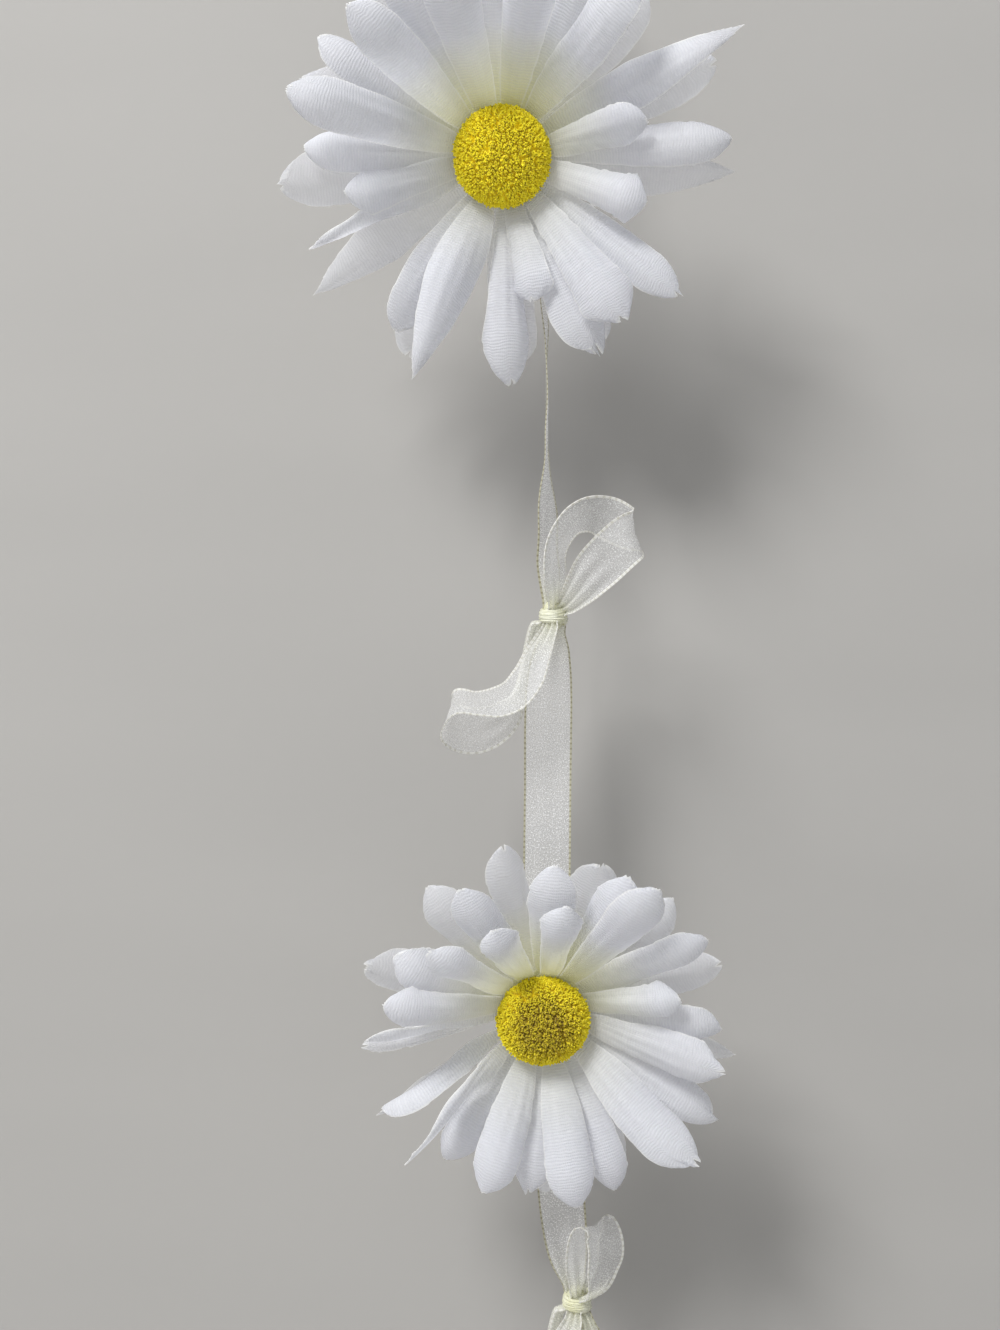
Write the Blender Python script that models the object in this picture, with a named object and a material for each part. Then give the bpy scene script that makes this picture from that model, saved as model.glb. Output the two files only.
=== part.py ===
"""Daisy garland: two fabric daisies with flocked centres on a sheer ribbon that is tied in bows.

The garland hangs from its ribbon loop. The origin is the bearing point inside the top of that loop, +Z is up,
+X is to the right as the blooms face the viewer, and the blooms face -Y. Sizes in this file are millimetres,
and become metres where a mesh is made.
"""

import math

import bmesh
import bpy
import numpy as np

MM = 0.001

# The ribbon
RIBBON_WIDTH = 10.0
RIBBON_THICKNESS = 0.6
STATIONS_PER_SPAN = 3

# Fabric petals
PETAL_THICKNESS = 0.6
PETAL_ROWS = (0.0, 0.16, 0.38, 0.64, 0.86, 1.0)
PETAL_COLUMNS = (-1.0, -0.5, 0.0, 0.5, 1.0)
RIM_RADIUS = 9.0
ROOT_HALF_ANGLE = 10.0
SLIT_ANGLE = 1.2
WIDEST_AT = 0.62
ROOT_SHARE = 0.34
GROOVE = 0.35
WIDEST_RIM_STEP = 14.0
LAYER_SPACING = 1.3

# How far each column's end stands out past the petal's length, in shares of that length
TIPS = {
    "round": (-0.03, 0.0, 0.0, 0.0, -0.03),
    "pointed": (-0.09, -0.03, 0.05, -0.03, -0.09),
    "notched": (-0.04, 0.02, -0.05, 0.02, -0.04),
    "jagged": (-0.02, 0.03, -0.03, 0.02, -0.06),
}

# Centre, post, collar and pad
CENTRE_RADIUS = 9.8
CENTRE_HEIGHT = 6.6
CENTRE_BASE = 1.9
CENTRE_SIDE = 1.45
DOME_POWER = 0.8
UNDERSIDE_SHARE = 0.86
CENTRE_RINGS = 8
CENTRE_SEGMENTS = 28
FLOCK_RELIEF = 0.35
POST_RADIUS = 2.2
POST_END = -4.4
HOLE_RADIUS = 2.7
HOLE_SEGMENTS = 14
COLLAR_RADIUS = 5.5
COLLAR_FRONT = -1.95
COLLAR_THICKNESS = 2.1
PAD_RADIUS = 8.0
PAD_FRONT = -4.75
PAD_THICKNESS = 1.2
PAD_GAP = 0.3
ROUND_SEGMENTS = 24
RIBBON_BEHIND = PAD_FRONT - PAD_THICKNESS - PAD_GAP - RIBBON_THICKNESS / 2

# Where the blooms and knots hang
UPPER_BLOOM = dict(place=(-4.8, -8.2, -65.8), tilt=20.0, size=1.0, roll=10.0, seed=3)
LOWER_BLOOM = dict(place=(3.6, -8.5, -242.8), tilt=15.0, size=0.95, roll=14.0, seed=13)
TOP_KNOT = (0.0, 0.0, -24.0)
MIDDLE_KNOT = (6.2, 0.0, -160.4)
BOTTOM_KNOT = (11.2, 0.0, -306.3)
KNOT_RADII = (2.8, 2.6, 3.3)
KNOT_RINGS = 9
KNOT_SEGMENTS = 14
WRAP_RELIEF = 0.06
KNOT_GAP = 0.4
STRAIGHT_OUT = 2.0

# Petals: turn clockwise from the top, length, width, lift, tip
UPPER_FRONT = (
    (10, 37, 13.5, 32, "round"),
    (37, 38, 13.0, 30, "round"),
    (78, 24, 13.0, 33, "round"),
    (106, 24, 14.0, 33, "round"),
    (141, 35, 14.5, 29, "jagged"),
    (166, 22, 12.0, 30, "notched"),
    (203, 40, 13.0, 30, "pointed"),
    (258, 27, 14.5, 34, "round"),
    (285, 40, 13.5, 31, "round"),
    (312, 36, 13.5, 33, "round"),
    (341, 38, 13.5, 32, "round"),
)
UPPER_MIDDLE = (
    (0, 40, 13.0, 23, "round"),
    (25, 40, 13.0, 23, "jagged"),
    (61, 43, 13.5, 22, "pointed"),
    (84, 40, 13.0, 23, "round"),
    (126, 39, 12.5, 22, "jagged"),
    (153, 37, 12.0, 22, "jagged"),
    (176, 38, 13.0, 21, "notched"),
    (214, 34, 13.0, 21, "round"),
    (246, 35, 13.0, 24, "pointed"),
    (273, 34, 13.0, 24, "round"),
    (301, 36, 13.5, 24, "round"),
    (329, 38, 13.5, 24, "round"),
)
LOWER_FRONT = (
    (7, 25, 10.5, 35, "round"),
    (31, 35, 12.0, 29, "round"),
    (70, 23, 11.5, 34, "round"),
    (98, 30, 11.5, 31, "jagged"),
    (129, 34, 12.0, 31, "jagged"),
    (168, 32, 11.5, 34, "round"),
    (199, 30, 11.0, 32, "round"),
    (229, 31, 10.5, 30, "pointed"),
    (286, 28, 11.5, 33, "round"),
    (312, 26, 10.5, 36, "round"),
    (338, 22, 10.0, 39, "round"),
)
LOWER_MIDDLE = (
    (2, 30, 10.5, 24, "round"),
    (27, 30, 11.0, 20, "round"),
    (56, 32, 11.0, 24, "round"),
    (87, 29, 11.0, 24, "round"),
    (119, 33, 11.0, 22, "jagged"),
    (156, 32, 11.0, 24, "round"),
    (184, 29, 10.5, 24, "jagged"),
    (213, 29, 10.5, 22, "round"),
    (243, 30, 10.5, 21, "round"),
    (269, 29, 10.5, 24, "round"),
    (300, 28, 10.5, 26, "round"),
    (333, 30, 10.5, 26, "round"),
)

# The back layers, by rule
BACK_PETALS = 13
BACK_TIPS = ("jagged", "round", "notched", "pointed", "jagged")
UPPER_BACK = dict(phase=13.0, length=36.5, width=12.5, lift=15.5)
LOWER_BACK = dict(phase=16.0, length=30.5, width=10.5, lift=15.0)

# How much the petals of each layer arch, and how much they may vary, in degrees
FRONT_ARCH = 9.0
MIDDLE_ARCH = 7.0
BACK_ARCH = 4.0
ARCH_RANGE = (-3.0, 4.0)
MOST_SWEEP = 4.0
CAMBER_RANGE = (0.22, 0.36)
MOST_TURN_ASIDE = 1.5
LENGTH_RANGE = (0.93, 1.04)

# Ribbon routes as rows of place, the way the width points, and gathered share. ACROSS faces the viewer and
# ON_EDGE stands edge-on to the viewer.
ACROSS = (1.0, 0.0, 0.0)
ON_EDGE = (0.05, 1.0, 0.0)
GATHERED = 0.3
TIED = 0.45

# Half of the hanging loop, from the top knot up to the origin; the other half mirrors it
HANGING_LOOP_SIDE = (
    ((-3.0, 0.0, -16.5), ON_EDGE, 0.8),
    ((-5.2, 0.0, -11.0), ON_EDGE, 1.0),
    ((-5.0, 0.0, -5.0), ON_EDGE, 1.0),
    ((-3.0, 0.0, -1.0), ON_EDGE, 1.0),
)

# Where the ribbon lies on a pad: side and down from the pad's centre
UPPER_PAD_LINE = ((2.0, -11.0), (2.3, -8.0), (2.9, 0.0), (3.8, 8.0), (4.2, 11.0))
LOWER_PAD_LINE = ((0.7, -11.0), (0.8, -8.0), (1.2, 0.0), (1.9, 8.0), (2.4, 11.0))

UPPER_LENGTH_ABOVE = (
    ((-0.6, -1.0, -34.0), ACROSS, 0.9),
    ((-1.8, -4.4, -46.0), ACROSS, 1.0),
)
UPPER_LENGTH_BELOW = (
    ((2.2, 4.6, -81.0), (1.0, 0.6, 0.0), 1.0),
    ((4.2, 5.0, -90.0), (0.25, 1.0, 0.0), 1.0),
    ((4.8, 4.4, -106.0), ON_EDGE, 1.0),
    ((4.9, 3.2, -123.0), ON_EDGE, 1.0),
    ((5.0, 1.9, -136.0), (0.35, 0.95, 0.0), 1.0),
    ((5.0, 1.6, -148.0), (0.5, 0.85, 0.0), 0.9),
)
LOWER_LENGTH_ABOVE = (
    ((5.9, 1.6, -168.0), ACROSS, 0.75),
    ((5.2, 1.2, -177.0), ACROSS, 1.0),
    ((4.9, -0.8, -199.0), ACROSS, 1.0),
    ((4.6, -3.6, -218.0), ACROSS, 1.0),
)
LOWER_LENGTH_BELOW = (
    ((7.0, 0.8, -266.0), ACROSS, 1.0),
    ((7.9, 0.9, -284.0), ACROSS, 1.0),
    ((9.2, 0.8, -296.0), ACROSS, 0.85),
)

# Bow loops, with places from the centre of their knot
MIDDLE_RIGHT_LOOP = (
    ((0.3, -4.2, 8.1), (0.5, 0.85, 0.0), 0.9),
    ((0.5, -4.8, 12.9), (0.48, 0.85, -0.05), 1.0),
    ((1.8, -5.2, 16.8), (0.4, 0.85, -0.2), 1.0),
    ((4.0, -5.6, 19.4), (0.2, 0.85, -0.48), 1.0),
    ((7.4, -6.1, 20.5), (0.0, 0.7, -0.7), 1.0),
    ((11.2, -6.6, 19.7), (-0.12, 0.48, -0.87), 1.0),
    ((14.8, -7.6, 18.1), (-0.1, 0.42, -0.9), 1.0),
    ((15.6, -9.0, 17.0), (0.2, 0.5, -0.84), 1.0),
    ((15.4, -10.4, 15.9), (0.54, 0.3, -0.78), 1.0),
    ((14.2, -11.2, 14.5), (0.68, 0.05, -0.73), 1.0),
    ((10.9, -10.8, 11.6), (0.66, -0.05, -0.75), 1.0),
    ((8.2, -9.6, 8.8), (0.63, -0.1, -0.77), 0.95),
    ((5.9, -7.4, 6.0), (0.62, -0.1, -0.78), 0.8),
)
BOTTOM_LOOP_WIDTH = (0.44, 0.9, 0.0)
BOTTOM_RIGHT_LOOP = (
    ((1.0, -3.4, 8.0), BOTTOM_LOOP_WIDTH, 0.9),
    ((1.3, -3.9, 13.5), BOTTOM_LOOP_WIDTH, 1.0),
    ((2.5, -4.6, 17.6), BOTTOM_LOOP_WIDTH, 1.0),
    ((4.4, -5.4, 17.8), BOTTOM_LOOP_WIDTH, 1.0),
    ((5.5, -6.0, 14.4), BOTTOM_LOOP_WIDTH, 1.0),
    ((5.3, -5.8, 9.4), BOTTOM_LOOP_WIDTH, 1.0),
    ((4.4, -4.4, 4.8), BOTTOM_LOOP_WIDTH, 0.7),
)
LEFT_LOOP = (
    ((-3.5, -5.4, -8.3), (0.6, -0.75, -0.3), 0.8),
    ((-5.4, -6.6, -13.0), (0.55, -0.75, -0.35), 1.0),
    ((-8.1, -7.2, -16.6), (0.36, -0.75, -0.55), 1.0),
    ((-11.4, -7.4, -18.2), (0.12, -0.8, -0.6), 1.0),
    ((-15.3, -7.4, -18.5), (0.0, -0.88, -0.48), 1.0),
    ((-19.3, -6.6, -18.4), (0.0, -0.88, -0.45), 1.0),
    ((-21.9, -4.6, -19.6), (-0.1, -0.7, -0.7), 1.0),
    ((-22.3, -1.8, -22.2), (-0.2, -0.45, -0.87), 1.0),
    ((-20.2, 0.3, -24.0), (-0.05, -0.1, -1.0), 1.0),
    ((-16.6, 1.5, -24.7), (0.05, 0.1, -0.99), 1.0),
    ((-12.7, 2.1, -23.4), (0.3, 0.3, -0.9), 0.95),
    ((-9.6, 2.2, -20.6), (0.6, 0.5, -0.55), 0.8),
    ((-6.9, 2.0, -15.5), (0.5, 0.85, -0.2), 0.5),
)

# The ways that ribbons leave a knot
RIGHT_LOOP_EXITS = ((0.05, -0.55, 0.83), (0.6, -0.62, 0.5))
LEFT_LOOP_EXITS = ((-0.25, -0.65, -0.72), (-0.75, 0.3, -0.6))

# The two cut ends: the way each leaves the knot, and how far it leans to the right
TAIL_LENGTH = 38.0
LEFT_TAIL = ((0.1, 0.55, -0.83), 1.0)
RIGHT_TAIL = ((0.45, -0.3, -0.84), 9.0)


def clear_scene():
    for obj in list(bpy.data.objects):
        bpy.data.objects.remove(obj, do_unlink=True)


def material(name, colour, roughness):
    made = bpy.data.materials.new(name)
    made.use_nodes = True
    shader = made.node_tree.nodes["Principled BSDF"]
    shader.inputs["Base Color"].default_value = (*colour, 1.0)
    shader.inputs["Roughness"].default_value = roughness
    shader.inputs["Metallic"].default_value = 0.0
    made.diffuse_color = (*colour, 1.0)
    return made


def solid(name, points, faces, finish, parent=None):
    """A closed mesh object from points in millimetres, its faces turned outwards."""
    mesh = bpy.data.meshes.new(name)
    mesh.from_pydata([tuple(map(float, p)) for p in np.asarray(points) * MM], [], faces)
    work = bmesh.new()
    work.from_mesh(mesh)
    bmesh.ops.triangulate(work, faces=[f for f in work.faces if len(f.verts) > 4])
    bmesh.ops.recalc_face_normals(work, faces=work.faces)
    work.to_mesh(mesh)
    work.free()
    mesh.shade_smooth()
    mesh.set_sharp_from_angle(angle=math.radians(50))
    mesh.materials.append(finish)
    obj = bpy.data.objects.new(name, mesh)
    bpy.context.collection.objects.link(obj)
    obj.parent = parent
    return obj


def unit(vectors):
    vectors = np.asarray(vectors, float)
    return vectors / np.linalg.norm(vectors, axis=-1, keepdims=True)


def width_at(u):
    """Half width of a petal as a share of its widest: a quarter sine from the root, then an ellipse."""
    rise = ROOT_SHARE + (1 - ROOT_SHARE) * np.sin(np.minimum(u / WIDEST_AT, 1.0) * math.pi / 2)
    past = np.clip((u - WIDEST_AT) / (1 - WIDEST_AT), 0.0, 1.0)
    return rise * np.sqrt(1.0 - 0.8 * past**2)


def on_circle(radius, angle, height):
    """Points of a circle round the bloom's axis, with angles clockwise from its top."""
    return np.stack([radius * np.sin(angle), radius * np.cos(angle), np.full_like(angle, height)], -1)


def heading_out(slope, heading):
    """Unit vectors that slope forwards out of the bloom's plane and head away from its axis."""
    return np.stack([np.cos(slope) * np.sin(heading), np.cos(slope) * np.cos(heading), np.sin(slope)], -1)


def petal_surface(petal, height):
    """Middle surface and its normals, rows by columns, in the bloom's frame: x right, y up, z forward.

    The spine leaves the rim outwards and forwards at the lift angle plus the arch, and flattens evenly to the
    lift minus the arch at the tip. Across it the edges fall back by the camber, and the quarter lines stand
    proud by the groove. The layer is cut from one sheet, so a petal is never wider than its room there.
    """
    turn, sweep = math.radians(petal["turn"]), math.radians(petal["sweep"])
    lift, arch, roll = (math.radians(petal[k]) for k in ("lift", "arch", "roll"))
    u = np.array(PETAL_ROWS)
    v = np.array(PETAL_COLUMNS)
    middle = (u[1:] + u[:-1]) / 2
    step = np.diff(u)[:, None] * petal["length"]
    slope = lift + arch * (1 - 2 * middle)
    heading = turn + sweep * middle
    start = on_circle(RIM_RADIUS, turn, height)[None, :]
    spine = np.concatenate([start, start + np.cumsum(heading_out(slope, heading) * step, axis=0)])
    slope = lift + arch * (1 - 2 * u)
    heading = turn + sweep * u
    along = heading_out(slope, heading)
    side = np.stack([np.cos(heading), -np.sin(heading), np.zeros_like(u)], 1)
    front = np.cross(side, along)
    turned = (roll * u)[:, None]
    across = side * np.cos(turned) + front * np.sin(turned)
    front = front * np.cos(turned) - side * np.sin(turned)
    reach = np.hypot(spine[:, 0], spine[:, 1])
    half = np.minimum(petal["width"] / 2 * width_at(u), reach * math.tan(math.radians(petal["room"])))
    bulge = np.sin(np.minimum(u * 1.6, 1.0) * math.pi / 2)[:, None]
    drop = -petal["camber"] * bulge * (v**2)[None, :] * half[:, None]
    drop = drop + GROOVE * bulge * np.sin(np.abs(v) * math.pi)[None, :]
    ends = np.array(TIPS[petal["tip"]])[None, :] * petal["length"] * (u**6)[:, None]
    points = spine[:, None, :] + across[:, None, :] * (half[:, None] * v[None, :])[..., None]
    points += front[:, None, :] * drop[..., None]
    points[0] = on_circle(RIM_RADIUS, turn + np.radians(ROOT_HALF_ANGLE) * v, height)
    normals = unit(np.cross(np.gradient(points, axis=1), np.gradient(points, axis=0)))
    normals[0] = (0.0, 0.0, 1.0)
    return points + along[:, None, :] * ends[..., None], normals


def ring_strip(outer, inner, outer_angles, inner_angles):
    """Triangles between two closed rings of points, walked round together by angle."""
    faces = []
    i = j = 0
    while i < len(outer) or j < len(inner):
        next_outer = outer_angles[(i + 1) % len(outer)] + 360.0 * ((i + 1) // len(outer))
        next_inner = inner_angles[(j + 1) % len(inner)] + 360.0 * ((j + 1) // len(inner))
        if j >= len(inner) or (i < len(outer) and next_outer <= next_inner):
            faces.append((outer[i], outer[(i + 1) % len(outer)], inner[j % len(inner)]))
            i += 1
        else:
            faces.append((outer[i % len(outer)], inner[(j + 1) % len(inner)], inner[j]))
            j += 1
    return faces


def petal_layer(name, petals, height, finish, parent):
    """One die-cut layer: a thin ring round the post, with every petal growing from its rim."""
    rows, columns = len(PETAL_ROWS), len(PETAL_COLUMNS)
    half = PETAL_THICKNESS / 2
    points, faces, rim = [], [], []
    for petal in sorted(petals, key=lambda p: p["turn"]):
        surface, normals = petal_surface(petal, height)
        first = len(points)
        points.extend((surface + normals * half).reshape(-1, 3))
        points.extend((surface - normals * half).reshape(-1, 3))
        top = first + np.arange(rows * columns).reshape(rows, columns)
        bottom = top + rows * columns
        for r in range(rows - 1):
            for c in range(columns - 1):
                for side in (top, bottom):
                    a, b, d, e = side[r, c], side[r, c + 1], side[r + 1, c], side[r + 1, c + 1]
                    faces += [(a, b, d), (b, e, d)] if c < columns // 2 else [(a, b, e), (a, e, d)]
            for c in (0, columns - 1):
                faces.append((top[r, c], top[r + 1, c], bottom[r + 1, c], bottom[r, c]))
        for c in range(columns - 1):
            faces.append((top[-1, c], top[-1, c + 1], bottom[-1, c + 1], bottom[-1, c]))
        for c, v in enumerate(PETAL_COLUMNS):
            rim.append((petal["turn"] + ROOT_HALF_ANGLE * v, top[0, c], bottom[0, c], c < columns - 1))
    edge = []
    for k, (angle, upper, lower, rooted) in enumerate(rim):
        edge.append((angle, upper, lower, rooted))
        following = rim[(k + 1) % len(rim)][0] + (360.0 if k + 1 == len(rim) else 0.0)
        spare = math.ceil((following - angle) / WIDEST_RIM_STEP) - 1
        for extra in range(0 if rooted else spare):
            between = angle + (following - angle) * (extra + 1) / (spare + 1)
            points += [on_circle(RIM_RADIUS, math.radians(between), height + face) for face in (half, -half)]
            edge.append((between, len(points) - 2, len(points) - 1, False))
    hole = []
    for k in range(HOLE_SEGMENTS):
        angle = edge[0][0] + 360.0 * k / HOLE_SEGMENTS
        points += [on_circle(HOLE_RADIUS, math.radians(angle), height + face) for face in (half, -half)]
        hole.append((angle, len(points) - 2, len(points) - 1))
    angles, hole_angles = [e[0] for e in edge], [h[0] for h in hole]
    for face in (1, 2):
        faces += ring_strip([e[face] for e in edge], [h[face] for h in hole], angles, hole_angles)
    for k, (_, upper, lower, rooted) in enumerate(edge):
        if not rooted:
            after = edge[(k + 1) % len(edge)]
            faces.append((upper, after[1], after[2], lower))
    for k, (_, upper, lower) in enumerate(hole):
        after = hole[(k + 1) % len(hole)]
        faces.append((upper, after[1], after[2], lower))
    return solid(name, points, faces, finish, parent)


def turned(name, profile, segments, finish, parent, relief=None):
    """A solid turned about z from (radius, height) points, the first and last of them on the axis."""
    angles = np.arange(segments) * 2 * math.pi / segments
    points = [(0.0, 0.0, profile[0][1])]
    for ring, (radius, height) in enumerate(profile[1:-1], 1):
        lift = relief(ring, np.arange(segments)) if relief else np.zeros(segments)
        slope = math.atan2(max(height - profile[-1][1], 0.0), max(radius, 0.1)) if relief else 0.0
        wide, high = radius + lift * math.cos(slope), height + lift * math.sin(slope)
        points += list(np.stack([wide * np.sin(angles), wide * np.cos(angles), high], 1))
    points.append((0.0, 0.0, profile[-1][1]))
    faces = []
    rings = len(profile) - 2
    for k in range(segments):
        after = (k + 1) % segments
        faces.append((0, 1 + k, 1 + after))
        for ring in range(rings - 1):
            a, b = 1 + ring * segments, 1 + (ring + 1) * segments
            faces.append((a + k, b + k, b + after, a + after))
        last = 1 + (rings - 1) * segments
        faces.append((last + k, len(points) - 1, last + after))
    return solid(name, points, faces, finish, parent)


def washer(name, finish, parent):
    """The ring that is pushed onto the post and holds the layers against the centre."""
    angles = np.arange(ROUND_SEGMENTS) * 2 * math.pi / ROUND_SEGMENTS
    back = COLLAR_FRONT - COLLAR_THICKNESS
    outline = [(COLLAR_RADIUS, COLLAR_FRONT), (HOLE_RADIUS, COLLAR_FRONT)]
    outline += [(HOLE_RADIUS, back), (COLLAR_RADIUS, back)]
    points = np.concatenate([on_circle(radius, angles, height) for radius, height in outline])
    faces = []
    for ring in range(4):
        a, b = ring * ROUND_SEGMENTS, (ring + 1) % 4 * ROUND_SEGMENTS
        for k in range(ROUND_SEGMENTS):
            after = (k + 1) % ROUND_SEGMENTS
            faces.append((a + k, b + k, b + after, a + after))
    return solid(name, points, faces, finish, parent)


def flocked_centre(name, size, finish, parent):
    """A dome in rings, every other point raised like a tuft of flock, on a post through the layers."""
    radius = CENTRE_RADIUS * size
    around = np.linspace(0.0, math.pi / 2, CENTRE_RINGS + 1)
    rim = CENTRE_BASE + CENTRE_SIDE
    dome = CENTRE_HEIGHT - CENTRE_SIDE
    profile = [(radius * math.sin(a), rim + dome * max(math.cos(a), 0.0) ** DOME_POWER) for a in around]
    profile += [(radius * UNDERSIDE_SHARE, CENTRE_BASE), (POST_RADIUS, CENTRE_BASE)]
    profile += [(POST_RADIUS, POST_END), (0.0, POST_END)]

    def relief(ring, k):
        share = FLOCK_RELIEF if ring < CENTRE_RINGS else 0.0
        return share * np.cos(math.pi * (ring + k))

    return turned(name, profile, CENTRE_SEGMENTS, finish, parent, relief)


def shaped(rows, seed, arch, roll):
    """The petals of a layer, each with a seeded arch, sweep, roll and camber of its own."""
    draw = np.random.default_rng(seed)
    petals = []
    for turn, length, width, lift, tip in rows:
        petal = dict(turn=turn, length=length, width=width, lift=lift, tip=tip)
        petal["arch"] = arch + draw.uniform(*ARCH_RANGE)
        petal["sweep"] = draw.uniform(-MOST_SWEEP, MOST_SWEEP)
        petal["roll"] = draw.uniform(-roll, roll)
        petal["camber"] = draw.uniform(*CAMBER_RANGE)
        petals.append(petal)
    turns = np.sort([petal["turn"] for petal in petals])
    for petal in petals:
        apart = np.abs((turns - petal["turn"] + 180.0) % 360.0 - 180.0)
        petal["room"] = np.sort(apart)[1] / 2 - SLIT_ANGLE
    return petals


def back_petals(rule, seed, roll):
    """The back layer: evenly spaced petals with seeded variation."""
    draw = np.random.default_rng(seed)
    rows = []
    for k in range(BACK_PETALS):
        aside = draw.uniform(-MOST_TURN_ASIDE, MOST_TURN_ASIDE)
        turn = (rule["phase"] + 360.0 * k / BACK_PETALS + aside) % 360
        length = rule["length"] * draw.uniform(*LENGTH_RANGE)
        rows.append((turn, length, rule["width"], rule["lift"], BACK_TIPS[k % len(BACK_TIPS)]))
    return shaped(rows, seed + 1, BACK_ARCH, roll)


def bloom(name, at, front_rows, middle_rows, back_rule, finishes):
    """Three die-cut layers between a flocked centre and a collar on its post, with a felt pad behind."""
    frame = bpy.data.objects.new(f"{name}_bloom", None)
    bpy.context.collection.objects.link(frame)
    frame.location = [c * MM for c in at["place"]]
    frame.rotation_euler = (math.radians(90 + at["tilt"]), 0.0, 0.0)
    seed, roll, petal = at["seed"], at["roll"], finishes["petal"]
    front = shaped(front_rows, seed, FRONT_ARCH, roll)
    middle = shaped(middle_rows, seed + 2, MIDDLE_ARCH, roll)
    back = back_petals(back_rule, seed + 4, roll)
    petal_layer(f"{name}_petals_front", front, LAYER_SPACING, petal, frame)
    petal_layer(f"{name}_petals_middle", middle, 0.0, petal, frame)
    petal_layer(f"{name}_petals_back", back, -LAYER_SPACING, petal, frame)
    flocked_centre(f"{name}_centre", at["size"], finishes["flock"], frame)
    washer(f"{name}_collar", finishes["collar"], frame)
    pad_back = PAD_FRONT - PAD_THICKNESS
    pad = [(0.0, PAD_FRONT), (PAD_RADIUS, PAD_FRONT), (PAD_RADIUS, pad_back), (0.0, pad_back)]
    turned(f"{name}_pad", pad, ROUND_SEGMENTS, finishes["felt"], frame)


def behind(at, side, down):
    """A point of the ribbon on a bloom's pad, side to the right of the pad's centre and down along it."""
    tilt = math.radians(at["tilt"])
    x, y, z = at["place"]
    back = RIBBON_BEHIND
    y += math.sin(tilt) * down - math.cos(tilt) * back
    z -= math.cos(tilt) * down + math.sin(tilt) * back
    return (x + side, y, z)


def smooth(values, count):
    """Catmull-Rom curve through the rows of values, with count steps to a span."""
    values = np.asarray(values, float)
    padded = np.concatenate([2 * values[:1] - values[1:2], values, 2 * values[-1:] - values[-2:-1]])
    t = (np.arange(count) / count)[:, None]
    spans = []
    for a, b, c, d in zip(padded[:-3], padded[1:-2], padded[2:-1], padded[3:]):
        square, cube = 2 * a - 5 * b + 4 * c - d, 3 * b - a - 3 * c + d
        spans.append(b + 0.5 * ((c - a) * t + square * t**2 + cube * t**3))
    return np.concatenate([*spans, values[-1:]])


def ribbon(name, route, finish):
    """A flat band along a smooth route of rows: x, y, z, the way its width points, and its gathered share."""
    rows = smooth([(*place, *unit(way), share) for place, way, share in route], STATIONS_PER_SPAN)
    centre, way, share = rows[:, :3], rows[:, 3:6], rows[:, 6:]
    along = unit(np.gradient(centre, axis=0))
    across = unit(way - along * np.sum(way * along, axis=1, keepdims=True))
    face = np.cross(along, across) * RIBBON_THICKNESS / 2
    across = across * share * RIBBON_WIDTH / 2
    left, right = centre - across, centre + across
    corners = np.stack([left - face, right - face, right + face, left + face], 1)
    faces = []
    last = 4 * (len(corners) - 1)
    for first in range(0, last, 4):
        for k in range(4):
            a, b = first + k, first + (k + 1) % 4
            faces += [(a, b, a + 4), (b, b + 4, a + 4)] if k == 2 else [(a, b, b + 4), (a, b + 4, a + 4)]
    faces += [(0, 1, 2), (0, 2, 3), (last, last + 1, last + 2), (last, last + 2, last + 3)]
    return solid(name, corners.reshape(-1, 3), faces, finish)


def out_of(knot, way):
    """Where a ribbon meets a knot: on the knot's surface that way, and the gap beyond it."""
    way = unit(way)
    reach = 1 / np.linalg.norm(way / np.array(KNOT_RADII))
    return tuple(np.array(knot) + way * (reach + KNOT_GAP))


def exits(way):
    """The first two points of a ribbon that leaves a knot at the origin that way, straight out of it."""
    start = np.array(out_of((0, 0, 0), way))
    return [start, start + unit(way) * STRAIGHT_OUT]


def knot(name, place, finish):
    """A small lump with the ribbon's wraps raised across it by a slanted wave."""
    segments = KNOT_SEGMENTS
    polar = np.linspace(0, math.pi, KNOT_RINGS + 1)[1:-1]
    around = np.arange(segments) * 2 * math.pi / segments
    wave = 1 - WRAP_RELIEF + WRAP_RELIEF * np.sin(2 * around[None, :] + 3 * polar[:, None])
    round_ = np.sin(polar)[:, None] * wave
    body = np.stack([
        round_ * np.cos(around) * KNOT_RADII[0],
        round_ * np.sin(around) * KNOT_RADII[1],
        np.cos(polar)[:, None] * KNOT_RADII[2] * np.ones(segments),
    ], 2)
    points = [(0, 0, KNOT_RADII[2]), *body.reshape(-1, 3), (0, 0, -KNOT_RADII[2])]
    faces = []
    for k in range(segments):
        after = (k + 1) % segments
        faces.append((0, 1 + k, 1 + after))
        for ring in range(len(polar) - 1):
            a, b = 1 + ring * segments, 1 + (ring + 1) * segments
            faces.append((a + k, b + k, b + after, a + after))
        last = 1 + (len(polar) - 1) * segments
        faces.append((last + k, len(points) - 1, last + after))
    return solid(name, np.array(points) + np.array(place), faces, finish)


def offset(knot_place, rows):
    """Route rows given from a knot's centre."""
    return [(tuple(np.array(knot_place) + np.array(place)), way, share) for place, way, share in rows]


def hanging_loop(finish):
    """A teardrop of ribbon on edge, whose inside top is the origin."""
    up_left = [(out_of(TOP_KNOT, (-0.35, 0.0, 0.94)), ON_EDGE, TIED), *HANGING_LOOP_SIDE]
    down_right = [((-x, y, z), way, share) for (x, y, z), way, share in reversed(up_left)]
    top = ((0.0, 0.0, RIBBON_THICKNESS / 2), ON_EDGE, 1.0)
    ribbon("hanging_loop", [*up_left, top, *down_right], finish)


def on_pad(at, line):
    return [(behind(at, side, down), ACROSS, 1.0) for side, down in line]


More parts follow.
